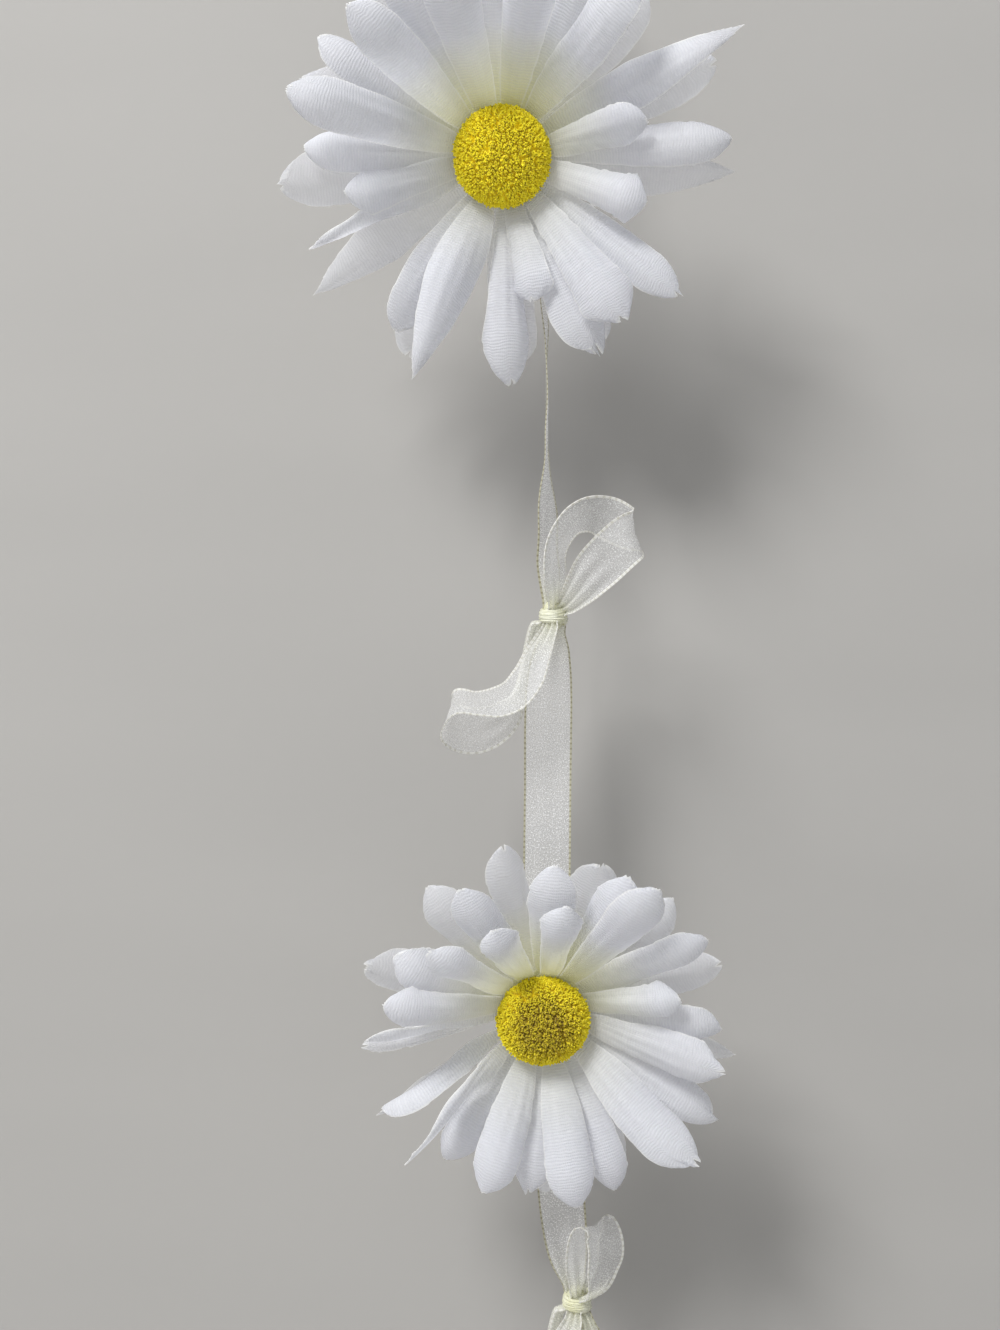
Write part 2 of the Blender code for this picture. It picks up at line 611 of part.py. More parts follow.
def upper_length(finish):
    """From the top knot behind the upper bloom to the middle knot, turned edge-on below the bloom."""
    route = [(out_of(TOP_KNOT, (0.0, 0.0, -1.0)), ACROSS, 0.5), *UPPER_LENGTH_ABOVE]
    route += [*on_pad(UPPER_BLOOM, UPPER_PAD_LINE), *UPPER_LENGTH_BELOW]
    route += [(out_of(MIDDLE_KNOT, (-0.25, 0.45, 0.85)), (0.6, 0.8, 0.0), TIED)]
    ribbon("ribbon_upper_length", route, finish)


def lower_length(finish):
    """From the middle knot behind the lower bloom to the bottom knot, facing the viewer."""
    route = [(out_of(MIDDLE_KNOT, (0.05, 0.3, -0.95)), ACROSS, TIED), *LOWER_LENGTH_ABOVE]
    route += [*on_pad(LOWER_BLOOM, LOWER_PAD_LINE), *LOWER_LENGTH_BELOW]
    route += [(out_of(BOTTOM_KNOT, (-0.2, 0.3, 0.93)), ACROSS, TIED)]
    ribbon("ribbon_lower_length", route, finish)


def bow_loop(name, knot_place, rows, both_exits, finish):
    """A loop of a bow, from its knot out along its rows and back, gathered where it is tied."""
    leaves, comes_back = both_exits
    first_way, last_way = rows[0][1], rows[-1][1]
    route = [(start, first_way, GATHERED) for start in exits(leaves)]
    route += [*rows, *((end, last_way, GATHERED) for end in reversed(exits(comes_back)))]
    ribbon(name, offset(knot_place, route), finish)


def tail(name, way, lean, finish):
    """A cut end that hangs from the bottom knot and leans to one side."""
    start, straight = exits(way)
    depth = straight[1] * 1.3
    rows = [(start, ACROSS, GATHERED), (straight, ACROSS, GATHERED)]
    rows.append(((lean * 0.55, depth, -TAIL_LENGTH * 0.34), (1.0, 0.1, 0.0), 0.8))
    rows.append(((lean * 0.75, depth, -TAIL_LENGTH * 0.63), (1.0, 0.3, 0.0), 1.0))
    rows.append(((lean, depth - 0.4, -TAIL_LENGTH), (1.0, 0.2, 0.0), 1.0))
    ribbon(name, offset(BOTTOM_KNOT, rows), finish)


def bows(finish):
    """The middle and bottom bows, each a knot with a loop up to the right and one down to the left."""
    for name, place, right_loop in (
        ("middle", MIDDLE_KNOT, MIDDLE_RIGHT_LOOP),
        ("bottom", BOTTOM_KNOT, BOTTOM_RIGHT_LOOP),
    ):
        knot(f"knot_{name}", place, finish)
        bow_loop(f"bow_{name}_right_loop", place, right_loop, RIGHT_LOOP_EXITS, finish)
        bow_loop(f"bow_{name}_left_loop", place, LEFT_LOOP, LEFT_LOOP_EXITS, finish)
    tail("tail_left", *LEFT_TAIL, finish)
    tail("tail_right", *RIGHT_TAIL, finish)


def main():
    clear_scene()
    finishes = {
        "petal": material("white fabric", (0.88, 0.88, 0.87), 0.75),
        "flock": material("yellow flock", (0.66, 0.50, 0.02), 0.95),
        "collar": material("white plastic", (0.80, 0.82, 0.78), 0.45),
        "felt": material("white felt", (0.82, 0.81, 0.77), 0.95),
        "ribbon": material("ivory organza", (0.80, 0.79, 0.68), 0.55),
    }
    bloom("upper", UPPER_BLOOM, UPPER_FRONT, UPPER_MIDDLE, UPPER_BACK, finishes)
    bloom("lower", LOWER_BLOOM, LOWER_FRONT, LOWER_MIDDLE, LOWER_BACK, finishes)
    knot("knot_top", TOP_KNOT, finishes["ribbon"])
    hanging_loop(finishes["ribbon"])
    upper_length(finishes["ribbon"])
    lower_length(finishes["ribbon"])
    bows(finishes["ribbon"])


main()
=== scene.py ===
"""Daisy garland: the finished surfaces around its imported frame.

Two fabric daisies with flocked centres hang on a sheer ribbon that is tied in bows, in front of a plain wall.
Run as a script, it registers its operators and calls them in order. Lengths in
the shape functions are millimetres, and become metres where a mesh is made.
"""

import math

import bpy
import numpy as np
from bpy.props import FloatProperty, FloatVectorProperty, IntProperty, PointerProperty
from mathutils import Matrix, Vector


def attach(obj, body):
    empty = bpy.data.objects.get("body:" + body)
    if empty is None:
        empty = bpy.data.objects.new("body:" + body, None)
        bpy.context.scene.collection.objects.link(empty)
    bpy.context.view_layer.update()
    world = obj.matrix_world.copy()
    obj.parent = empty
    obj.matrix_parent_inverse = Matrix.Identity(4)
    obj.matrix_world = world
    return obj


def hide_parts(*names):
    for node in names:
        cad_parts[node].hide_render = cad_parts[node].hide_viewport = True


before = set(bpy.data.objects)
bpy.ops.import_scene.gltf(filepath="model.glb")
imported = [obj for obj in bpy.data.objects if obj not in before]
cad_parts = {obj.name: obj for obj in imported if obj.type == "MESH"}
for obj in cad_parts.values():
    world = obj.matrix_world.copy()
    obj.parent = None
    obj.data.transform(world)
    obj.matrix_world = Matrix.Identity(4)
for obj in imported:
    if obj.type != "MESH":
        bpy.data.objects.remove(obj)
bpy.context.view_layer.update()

bl_info = {
    "name": "Daisy garland",
    "version": (1, 0, 0),
    "blender": (4, 5, 0),
    "location": "3D View > Sidebar > Garland",
    "description": "Makes the petals, flocked centres, ribbon and knots of a hanging daisy garland",
    "category": "Add Mesh",
}

MM = 0.001
BODY = "root"

# The ribbon's flat width and the blooms' places, as the frame has them
RIBBON_WIDTH = 10.0
UPPER_BLOOM = dict(place=(-4.8, -8.2, -65.8), tilt=20.0, size=1.0, roll=10.0, seed=3)
LOWER_BLOOM = dict(place=(3.6, -8.5, -242.8), tilt=15.0, size=0.95, roll=14.0, seed=13)
TOP_KNOT = (0.0, 0.0, -24.0)
MIDDLE_KNOT = (6.2, 0.0, -160.4)
BOTTOM_KNOT = (11.2, 0.0, -306.3)
KNOT_RADII = (2.8, 2.6, 3.3)
KNOT_GAP = 0.4
STRAIGHT_OUT = 2.0

# Knots: the core's share of the radii, and how finely core and wraps are divided
CORE_SHARE = 0.84
KNOT_ROWS = 26
KNOT_COLUMNS = 64
WRAP_STEPS = 72
SECTION_STEPS = 36

# Petal layers: each is cut from one sheet, a disc with a hole for the post and petals from its rim
HOLE_RADIUS = 2.7
RIM_RADIUS = 9.0
SLIT_ANGLE = 1.2
LAYER_SPACING = 1.3
WIDEST_AT = {"pointed": 0.52, "blunt": 0.72}
ROOT_SHARE = 0.3
DISC_ROWS = 5
PETAL_ROWS = 46
PETAL_COLUMNS = 23
ROW_CROWDING = 1.4
COLUMN_CROWDING = 1.35
CURLS_OVER = (0.66, 1.08)
TWISTS_OVER = (0.05, 0.55)
GROOVES = ((-0.6, -0.35), (-0.08, 0.08), (0.35, 0.6))
GROOVE_WIDTH = 0.12
GROOVE_DEPTHS = (0.2, 0.5)
EDGE_WAVES = (0.1, 0.5)
SIDE_FRAY = 0.08
END_FRAY = 0.0055
FAR_FROM_EDGE = 3.0
CLOTH_APART = 0.03
# The least strength of the tint beside the centre, on every petal; what the upper petals gain above it is painted
# light
LEAST_TINT = 0.2

# Ribbon: how finely it is divided, where its selvedge begins as a share of the half width, and how its cloth lies
RIBBON_STEP = 0.7
SELVEDGE_FROM = 0.93
SELVEDGE_THICKER = 1.9
SELVEDGE_BLUR = 0.00006
PLEATS = (2.2, 2.9)
SLOW_WAVES = (0.05, 0.16)
MOST_CUPPING = 0.25
SWALLOW_TAIL = 3.2

# Centre, collar and pad
CENTRE_RADIUS = 9.8
CENTRE_HEIGHT = 6.6
CENTRE_BASE = 1.9
CENTRE_SIDE = 1.45
DOME_POWER = 0.8
CORE_INSET = 0.72
TUFT_INSET = 0.8
TUFTS_TO_A_CLUMP = 13
CLUMP_LEAN = 0.5
TUFT_SPREAD = 0.18
CLUMP_SHADE = 0.35
TUFT_LENGTHS = (0.78, 1.1)
LONG_TUFTS, LONGER = 0.1, 1.3
TUFT_WIDTHS = (0.14, 0.2)
TUFT_TAPER = 0.95
POST_RADIUS = 2.2
POST_END = -4.4
COLLAR_RADIUS = 5.5
COLLAR_FRONT = -1.95
COLLAR_THICKNESS = 2.1
PAD_RADIUS = 8.0
PAD_FRONT = -4.75
PAD_THICKNESS = 1.2
PAD_GAP = 0.3
RIBBON_BEHIND = PAD_FRONT - PAD_THICKNESS - PAD_GAP - 0.3

# Petals: turn clockwise from the top, length, width, lift, and the tip where it isn't round
UPPER_FRONT = (
    (10, 37, 13.0, 32), (37, 38, 11.0, 30), (78, 24, 10.5, 33), (106, 25, 16.0, 33),
    (141, 35, 14.5, 29, "jagged"), (166, 22, 12.0, 30, "notched"), (203, 40, 13.0, 30, "pointed"),
    (258, 27, 12.5, 34), (285, 40, 11.5, 31), (312, 36, 11.0, 33), (341, 38, 13.5, 32),
)
UPPER_MIDDLE = (
    (0, 40, 13.0, 23), (25, 40, 13.0, 23, "jagged"), (61, 43, 10.5, 22, "pointed"), (84, 40, 10.5, 23),
    (126, 39, 9.0, 22, "jagged"), (153, 37, 12.0, 22, "jagged"), (176, 38, 13.0, 21, "notched"),
    (214, 34, 11.0, 21), (246, 35, 10.0, 24, "pointed"), (273, 34, 10.0, 24), (301, 36, 9.0, 24),
    (329, 38, 12.0, 24),
)
LOWER_FRONT = (
    (7, 25, 10.5, 35), (31, 35, 12.0, 29), (70, 23, 11.5, 34), (98, 30, 11.5, 31, "jagged"),
    (129, 34, 12.0, 31, "jagged"), (168, 32, 11.5, 34), (199, 30, 11.0, 32), (229, 31, 10.5, 30, "pointed"),
    (286, 28, 11.5, 33), (312, 26, 10.5, 36), (338, 22, 10.0, 39),
)
LOWER_MIDDLE = (
    (2, 30, 10.5, 24), (27, 30, 11.0, 20), (56, 32, 11.0, 24), (87, 29, 11.0, 24),
    (119, 33, 11.0, 22, "jagged"), (156, 32, 11.0, 24), (184, 29, 10.5, 24, "jagged"), (213, 29, 10.5, 22),
    (243, 30, 10.5, 21), (269, 29, 10.5, 24), (300, 28, 10.5, 26), (333, 30, 10.5, 26),
)
BACK_PETALS = 13
BACK_TIPS = ("jagged", "round", "notched", "pointed", "jagged")
UPPER_BACK = dict(phase=13.0, length=36.5, width=12.5, lift=15.5, slivers=(118.0, 150.0))
LOWER_BACK = dict(phase=16.0, length=30.5, width=10.5, lift=15.0, slivers=(222.0, 268.0))
SLIVER_SHARE = 0.45
FRONT_ARCH = 9.0
MIDDLE_ARCH = 7.0
BACK_ARCH = 4.0
ARCH_RANGE = (-3.0, 4.0)
MOST_SWEEP = 4.0
CAMBER_RANGE = (0.22, 0.36)
MOST_TURN_ASIDE = 1.5
PRESSED_BOW = 3.4
CURL_RANGE = {"round": (30.0, 75.0), "pointed": (5.0, 25.0), "notched": (10.0, 40.0), "jagged": (5.0, 35.0)}
LENGTH_RANGE = (0.93, 1.04)

# The share of the sight that a layer stops, where the cloth is one thin layer against the light
COVERS = {"front": None, "middle": None, "back": 0.66}

# Petals that stand nearly edge-on, and plump ones, by their turn: twist in degrees, share of the width, camber
SET_APART = {
    246: (50.0, 0.68, 0.3), 229: (66.0, 0.66, 0.3), 243: (-66.0, 0.66, 0.3), 269: (60.0, 0.66, 0.3),
    258: (-14.0, 1.0, 0.4), 106: (6.0, 1.0, 0.36), 286: (-10.0, 1.0, 0.4), 70: (8.0, 1.0, 0.4),
}
MOST_TWIST = 24.0

# Ribbon routes as rows of place, the way the width points, and gathered share
ACROSS = (1.0, 0.0, 0.0)
ON_EDGE = (0.05, 1.0, 0.0)
GATHERED = 0.3
OPENING = (0.34, 0.5)
TIED = 0.45
HANGING_LOOP_SIDE = (
    ((-3.0, 0.0, -16.5), ON_EDGE, 0.8), ((-5.2, 0.0, -11.0), ON_EDGE, 1.0), ((-5.0, 0.0, -5.0), ON_EDGE, 1.0),
    ((-3.0, 0.0, -1.0), ON_EDGE, 1.0),
)
UPPER_PAD_LINE = ((2.0, -11.0), (2.3, -8.0), (2.9, 0.0), (3.8, 8.0), (4.2, 11.0))
LOWER_PAD_LINE = ((0.7, -11.0), (0.8, -8.0), (1.2, 0.0), (1.9, 8.0), (2.4, 11.0))
UPPER_LENGTH_ABOVE = (
    ((-0.6, -1.0, -34.0), ACROSS, 0.9), ((-1.8, -4.4, -46.0), ACROSS, 1.0),
)
UPPER_LENGTH_BELOW = (
    ((2.2, 4.6, -81.0), (1.0, 0.6, 0.0), 1.0), ((4.2, 5.0, -90.0), (0.25, 1.0, 0.0), 1.0),
    ((4.8, 4.4, -106.0), ON_EDGE, 1.0), ((4.9, 3.2, -123.0), ON_EDGE, 1.0),
    ((5.0, 1.9, -136.0), (0.35, 0.95, 0.0), 1.0), ((5.0, 1.6, -148.0), (0.5, 0.85, 0.0), 0.9),
)
LOWER_LENGTH_ABOVE = (
    ((5.9, 1.6, -168.0), ACROSS, 0.75), ((5.2, 1.2, -177.0), ACROSS, 1.0), ((4.9, -0.8, -199.0), ACROSS, 1.0),
    ((4.6, -3.6, -218.0), ACROSS, 1.0),
)
LOWER_LENGTH_BELOW = (
    ((7.0, 0.8, -266.0), ACROSS, 1.0), ((7.9, 0.9, -284.0), ACROSS, 1.0), ((9.2, 0.8, -296.0), ACROSS, 0.85),
)
MIDDLE_RIGHT_LOOP = (
    ((0.3, -4.2, 8.1), (0.5, 0.85, 0.0), 0.9), ((0.5, -4.8, 12.9), (0.48, 0.85, -0.05), 1.0),
    ((1.8, -5.2, 16.8), (0.4, 0.85, -0.2), 1.0), ((4.0, -5.6, 19.4), (0.2, 0.85, -0.48), 1.0),
    ((7.4, -6.1, 20.5), (0.0, 0.7, -0.7), 1.0), ((11.2, -6.6, 19.7), (-0.12, 0.48, -0.87), 1.0),
    ((14.6, -7.7, 18.0), (0.14, 0.42, -0.89), 1.0), ((16.4, -9.0, 17.0), (0.28, 0.35, -0.89), 1.0),
    ((15.7, -10.3, 15.9), (0.42, 0.25, -0.87), 1.0), ((14.0, -11.2, 14.5), (0.62, 0.05, -0.78), 1.0),
    ((10.9, -10.8, 11.6), (0.66, -0.05, -0.75), 1.0), ((8.2, -9.6, 8.8), (0.63, -0.1, -0.77), 0.95),
    ((5.9, -7.4, 6.0), (0.62, -0.1, -0.78), 0.8),
)
BOTTOM_LOOP_WIDTH = (0.75, 0.66, 0.0)
BOTTOM_RIGHT_LOOP = (
    ((1.0, -3.4, 8.0), BOTTOM_LOOP_WIDTH, 0.9), ((1.3, -3.9, 13.5), BOTTOM_LOOP_WIDTH, 1.0),
    ((2.5, -4.6, 17.6), BOTTOM_LOOP_WIDTH, 1.0), ((4.4, -5.4, 17.8), BOTTOM_LOOP_WIDTH, 1.0),
    ((5.5, -6.0, 14.4), BOTTOM_LOOP_WIDTH, 1.0), ((5.3, -5.8, 9.4), BOTTOM_LOOP_WIDTH, 1.0),
    ((4.4, -4.4, 4.8), BOTTOM_LOOP_WIDTH, 0.7),
)
LEFT_LOOP = (
    ((-3.5, -5.4, -8.3), (0.6, -0.75, -0.3), 0.8), ((-5.4, -6.6, -13.0), (0.55, -0.75, -0.35), 1.0),
    ((-8.1, -7.2, -16.6), (0.36, -0.75, -0.55), 1.0), ((-11.4, -7.4, -18.2), (0.12, -0.8, -0.6), 1.0),
    ((-15.3, -7.4, -18.5), (0.0, -0.88, -0.48), 1.0), ((-19.3, -6.6, -18.4), (0.0, -0.88, -0.45), 1.0),
    ((-21.9, -4.6, -19.6), (-0.1, -0.7, -0.7), 1.0), ((-22.3, -1.8, -22.2), (-0.2, -0.45, -0.87), 1.0),
    ((-20.2, 0.3, -24.0), (-0.05, -0.1, -1.0), 1.0), ((-16.6, 1.5, -24.7), (0.05, 0.1, -0.99), 1.0),
    ((-12.7, 2.1, -23.4), (0.3, 0.3, -0.9), 0.95), ((-9.6, 2.2, -20.6), (0.6, 0.5, -0.55), 0.8),
    ((-6.9, 2.0, -15.5), (0.5, 0.85, -0.2), 0.5),
)
RIGHT_LOOP_EXITS = ((0.05, -0.55, 0.83), (0.6, -0.62, 0.5))
LEFT_LOOP_EXITS = ((-0.25, -0.65, -0.72), (-0.75, 0.3, -0.6))
TAIL_LENGTH = 38.0
LEFT_TAIL = ((0.1, 0.55, -0.83), 1.0)
RIGHT_TAIL = ((0.45, -0.3, -0.84), 9.0)

# The picture: 1330 pixels high, a focal length of 1410 of them, and the eye straight in front
PICTURE_HEIGHT = 1330
FOCAL_PIXELS = 1409.8
SENSOR = 36.0
EYE = (-5.2, -300.0, -171.0)

# The stage, in metres
KEY_SIZE = 0.56
KEY_PLACE = (-0.66, -0.9, 0.95)
KEY_AIM = (0.0, 0.0, -0.17)
SKY_COLOUR = (0.93, 0.955, 1.0, 1.0)
WALL_SPAN = (-0.42, 0.6)
WALL_HALF = 0.9
FLOOR_HALF = 2.0
FLOOR_COLOUR = (0.6, 0.59, 0.57)


def length_setting(name, description, default, **limits):
    return FloatProperty(name=name, description=description, default=default, unit="LENGTH", **limits)


def colour_setting(name, description, default):
    return FloatVectorProperty(name=name, description=description, default=default, subtype="COLOR", size=3)


class PetalSettings(bpy.types.PropertyGroup):
    """The white fabric of the petals."""

    thickness: length_setting("Thickness", "Thickness of the petal fabric", 0.00024, min=0.0001)
    rib_pitch: length_setting("Rib pitch", "Distance between the ribs across a petal", 0.00062)
    white: colour_setting("White", "Colour of the fabric", (0.93, 0.938, 0.965))
    root_tint: colour_setting("Root tint", "Colour beside the centre", (0.95, 0.94, 0.56))


class CentreSettings(bpy.types.PropertyGroup):
    """The flocked centres."""

    fibres: IntProperty(name="Tufts", description="Number of tufts of flock on a centre", default=7200, min=100)
    tuft_length: length_setting("Tuft length", "Length of a tuft of flock", 0.00105)
    yellow: colour_setting("Yellow", "Colour of the flock's tips", (1.0, 0.865, 0.012))
    # Painted shade: the dome between the tufts and the tufts' roots are darker than their tips
    tuft_root_shade: colour_setting("Olive", "Colour between the tufts", (0.95, 0.76, 0.012))
    brown: colour_setting("Brown", "Colour in the lower heart", (0.24, 0.14, 0.008))


class RibbonSettings(bpy.types.PropertyGroup):
    """The sheer ribbon."""

    thickness: length_setting("Thickness", "Thickness of the sheer cloth", 0.00012, min=0.00005)
    selvedge: length_setting("Selvedge", "Width of the woven edge", 0.00038)
    cover: FloatProperty(
        name="Cover", description="Share of the light that the cloth stops", default=0.42, subtype="FACTOR"
    )
    ivory: colour_setting("Ivory", "Colour of the cloth", (0.92, 0.92, 0.915))
    edge_colour: colour_setting("Edge", "Colour of the woven edge", (0.68, 0.66, 0.50))
    bunched: colour_setting("Bunched", "Colour of the cloth in a knot", (0.90, 0.90, 0.74))


class StageSettings(bpy.types.PropertyGroup):
    """The wall, the floor and the light."""

    wall_depth: length_setting("Wall", "Distance of the wall behind the ribbon", 0.026)
    wall: colour_setting("Wall colour", "Colour of the wall", (0.367, 0.357, 0.341))
    key: FloatProperty(name="Key light", description="Power of the soft key light", default=28.0, unit="POWER")
    sky: FloatProperty(name="Sky", description="Strength of the even light", default=0.50)


class GarlandSettings(bpy.types.PropertyGroup):
    """All that a user would change."""

    petals: PointerProperty(type=PetalSettings)
    centres: PointerProperty(type=CentreSettings)
    ribbon: PointerProperty(type=RibbonSettings)
    stage: PointerProperty(type=StageSettings)


def unit(vectors):
    vectors = np.asarray(vectors, float)
    return vectors / np.linalg.norm(vectors, axis=-1, keepdims=True)


def eased(x, low, high):
    """Zero at low, one at high and a smooth cubic between."""
    t = np.clip((x - low) / (high - low), 0.0, 1.0)
    return t * t * (3 - 2 * t)


def in_bloom(at, points):
    """From a bloom's own frame, x right, y up, z forward, to the garland's: turned to face -Y and leaned down."""
    a = math.radians(90 + at["tilt"])
    x, y, z = points[..., 0], points[..., 1], points[..., 2]
    turned = np.stack([x, y * math.cos(a) - z * math.sin(a), y * math.sin(a) + z * math.cos(a)], -1)
    return turned + np.array(at["place"])


def grid_faces(index, closed_rows=False, closed_columns=False):
    """Quads between neighbours of a grid of vertex numbers, joined round where it is closed."""
    if closed_rows:
        index = np.concatenate([index, index[:1]])
    if closed_columns:
        index = np.concatenate([index, index[:, :1]], axis=1)
    corners = (index[:-1, :-1], index[:-1, 1:], index[1:, 1:], index[1:, :-1])
    return np.stack([c.ravel() for c in corners], 1)


def used_only(points, faces, values):
    """Drops the points that no face uses, and renumbers the faces."""
    used, renumbered = np.unique(np.concatenate([f.ravel() for f in faces]), return_inverse=True)
    ends = np.cumsum([f.size for f in faces])[:-1]
    faces = [part.reshape(f.shape) for part, f in zip(np.split(renumbered, ends), faces)]
    return points[used], faces, {k: v[used] for k, v in values.items()}


def signed_volume(points, faces):
    total = 0.0
    for part in faces:
        a = points[part[:, 0]]
        for k in range(1, part.shape[1] - 1):
            total += np.einsum("ij,ij->", a, np.cross(points[part[:, k]], points[part[:, k + 1]]))
    return total / 6


def linked(name, data):
    """A new object with its data, in the scene."""
    obj = bpy.data.objects.new(name, data)
    bpy.context.collection.objects.link(obj)
    return obj


def piece(name, points, faces, finish, uv=None, values=None, sharp=60.0):
    """A closed mesh piece from points in millimetres and arrays of faces, turned outwards by its signed volume.

    uv has the cloth coordinates of each point in metres, or else they are its x and z, and values holds named
    numbers for each point.
    """
    uv = points[:, ::2] * MM if uv is None else uv
    points, faces, values = used_only(points, faces, dict(values or {}, uv=uv))
    uv = values.pop("uv")
    if signed_volume(points, faces) < 0:
        faces = [part[:, ::-1] for part in faces]
    loops = np.concatenate([part.ravel() for part in faces])
    totals = np.concatenate([np.full(len(part), part.shape[1]) for part in faces])
    mesh = bpy.data.meshes.new(name)
    mesh.vertices.add(len(points))
    mesh.vertices.foreach_set("co", (points * MM).ravel())
    mesh.loops.add(len(loops))
    mesh.loops.foreach_set("vertex_index", loops)
    mesh.polygons.add(len(totals))
    mesh.polygons.foreach_set("loop_start", np.cumsum(totals) - totals)
    mesh.update(calc_edges=True)
    mesh.uv_layers.new(name="cloth").data.foreach_set("uv", uv[loops].ravel())
    for key, value in values.items():
        mesh.attributes.new(key, "FLOAT", "POINT").data.foreach_set("value", value)
    mesh.shade_smooth()
    mesh.set_sharp_from_angle(angle=math.radians(sharp))
    mesh.materials.append(finish)
    return linked(name, mesh)


def stands_for(obj, node):
    """The piece replaces a node of the frame and moves with its body."""
    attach(obj, BODY)
    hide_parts(node)


def width_at(u, tip):
    """Half width of a petal as a share of its widest: a quarter sine from the root, then a blunt end or taper."""
    widest_at = WIDEST_AT["pointed" if tip == "pointed" else "blunt"]
    rise = ROOT_SHARE + (1 - ROOT_SHARE) * np.sin(np.minimum(u / widest_at, 1.0) * math.pi / 2)
    past = np.clip((u - widest_at) / (1 - widest_at), 0.0, 1.0)
    if tip == "pointed":
        return rise * (1.0 - 0.72 * past**1.35)
    return rise * np.sqrt(1.0 - 0.97 * past**2.6)


def tip_offset(kind, v, draw):
    """How far each column's end stands out past the petal's length, in shares of that length.

    Round is an ellipse's end, pointed a peak with straight shoulders, notched two lobes beside a nick, and jagged
    a row of drawn teeth.
    """
    corner = -0.035 * (1 - np.sqrt(1 - 0.97 * v**2))
    if kind == "pointed":
        return 0.06 - 0.1 * np.abs(v)
    if kind == "notched":
        return 0.02 - 0.045 * np.exp(-((v / 0.25) ** 2)) + corner
    if kind == "jagged":
        knots = np.linspace(-1, 1, 10) + draw.uniform(-0.06, 0.06, 10)
        return np.interp(v, knots, draw.uniform(-0.045, 0.03, 10)) + corner
    return corner


def shaped(rows, seed, arch, roll):
    """The petals of a layer, each with a seeded arch, sweep, roll and camber of its own."""
    draw = np.random.default_rng(seed)
    petals = []
    for turn, length, width, lift, *tip in rows:
        petal = dict(turn=turn, length=length, width=width, lift=lift, tip=tip[0] if tip else "round")
        petal["arch"] = arch + draw.uniform(*ARCH_RANGE)
        petal["sweep"] = draw.uniform(-MOST_SWEEP, MOST_SWEEP)
        petal["roll"] = draw.uniform(-roll, roll)
        petal["camber"] = draw.uniform(*CAMBER_RANGE)
        petals.append(petal)
    turns = np.sort([petal["turn"] for petal in petals])
    for petal in petals:
        apart = np.abs((turns - petal["turn"] + 180.0) % 360.0 - 180.0)
        petal["room"] = np.sort(apart)[1] / 2 - SLIT_ANGLE
    return petals


def back_petals(rule, seed, roll):
    """The back layer: evenly spaced petals with seeded variation, narrow between the two turns of its slivers."""
    draw = np.random.default_rng(seed)
    rows = []
    for k in range(BACK_PETALS):
        aside = draw.uniform(-MOST_TURN_ASIDE, MOST_TURN_ASIDE)
        turn = (rule["phase"] + 360.0 * k / BACK_PETALS + aside) % 360
        length = rule["length"] * draw.uniform(*LENGTH_RANGE)
        share = SLIVER_SHARE if rule["slivers"][0] < turn < rule["slivers"][1] else 1.0
        rows.append((turn, length, rule["width"] * share, rule["lift"], BACK_TIPS[k % len(BACK_TIPS)]))
    return shaped(rows, seed + 1, BACK_ARCH, roll)


def heading_out(slope, heading):
    """Unit vectors that slope forwards out of the bloom's plane and head away from its axis."""
    return np.stack([np.cos(slope) * np.sin(heading), np.cos(slope) * np.cos(heading), np.sin(slope)], -1)


def pressed(u, v, half, petal, draw):
    """Where the cloth lies across the petal, and how far it stands off the petal's plane.

    Across, the petal is an arc that keeps its cloth width, and its bow grows from the root with the camber. The two
    sides bow by different amounts. Lengthwise grooves are pressed in beside the root and fade past the middle, and
    each edge waves with its own phase.
    """
    rise = np.sin(np.minimum(u * 1.6, 1.0) * math.pi / 2)[:, None]
    uneven = 1 + draw.uniform(-0.25, 0.25) * v[None, :]
    bow = PRESSED_BOW * petal["camber"] * rise * uneven
    lateral = half[:, None] * np.sin(bow * v) / bow
    height = half[:, None] * (np.cos(bow * v) - 1) / bow
    fade = (1 - eased(u, 0.45, 0.95))[:, None] * rise
    for place in GROOVES:
        groove = np.exp(-(((v - draw.uniform(*place)) / GROOVE_WIDTH) ** 2))
        height = height - draw.uniform(*GROOVE_DEPTHS) * fade * groove[None, :]
    for side in (-1, 1):
        waves = np.sin(2 * math.pi * (draw.uniform(1.4, 2.6) * u + draw.uniform(0, 1)))
        edge = np.clip(side * v, 0, 1) ** 3
        height = height + draw.uniform(*EDGE_WAVES) * waves[:, None] * edge[None, :] * rise
    return lateral, height


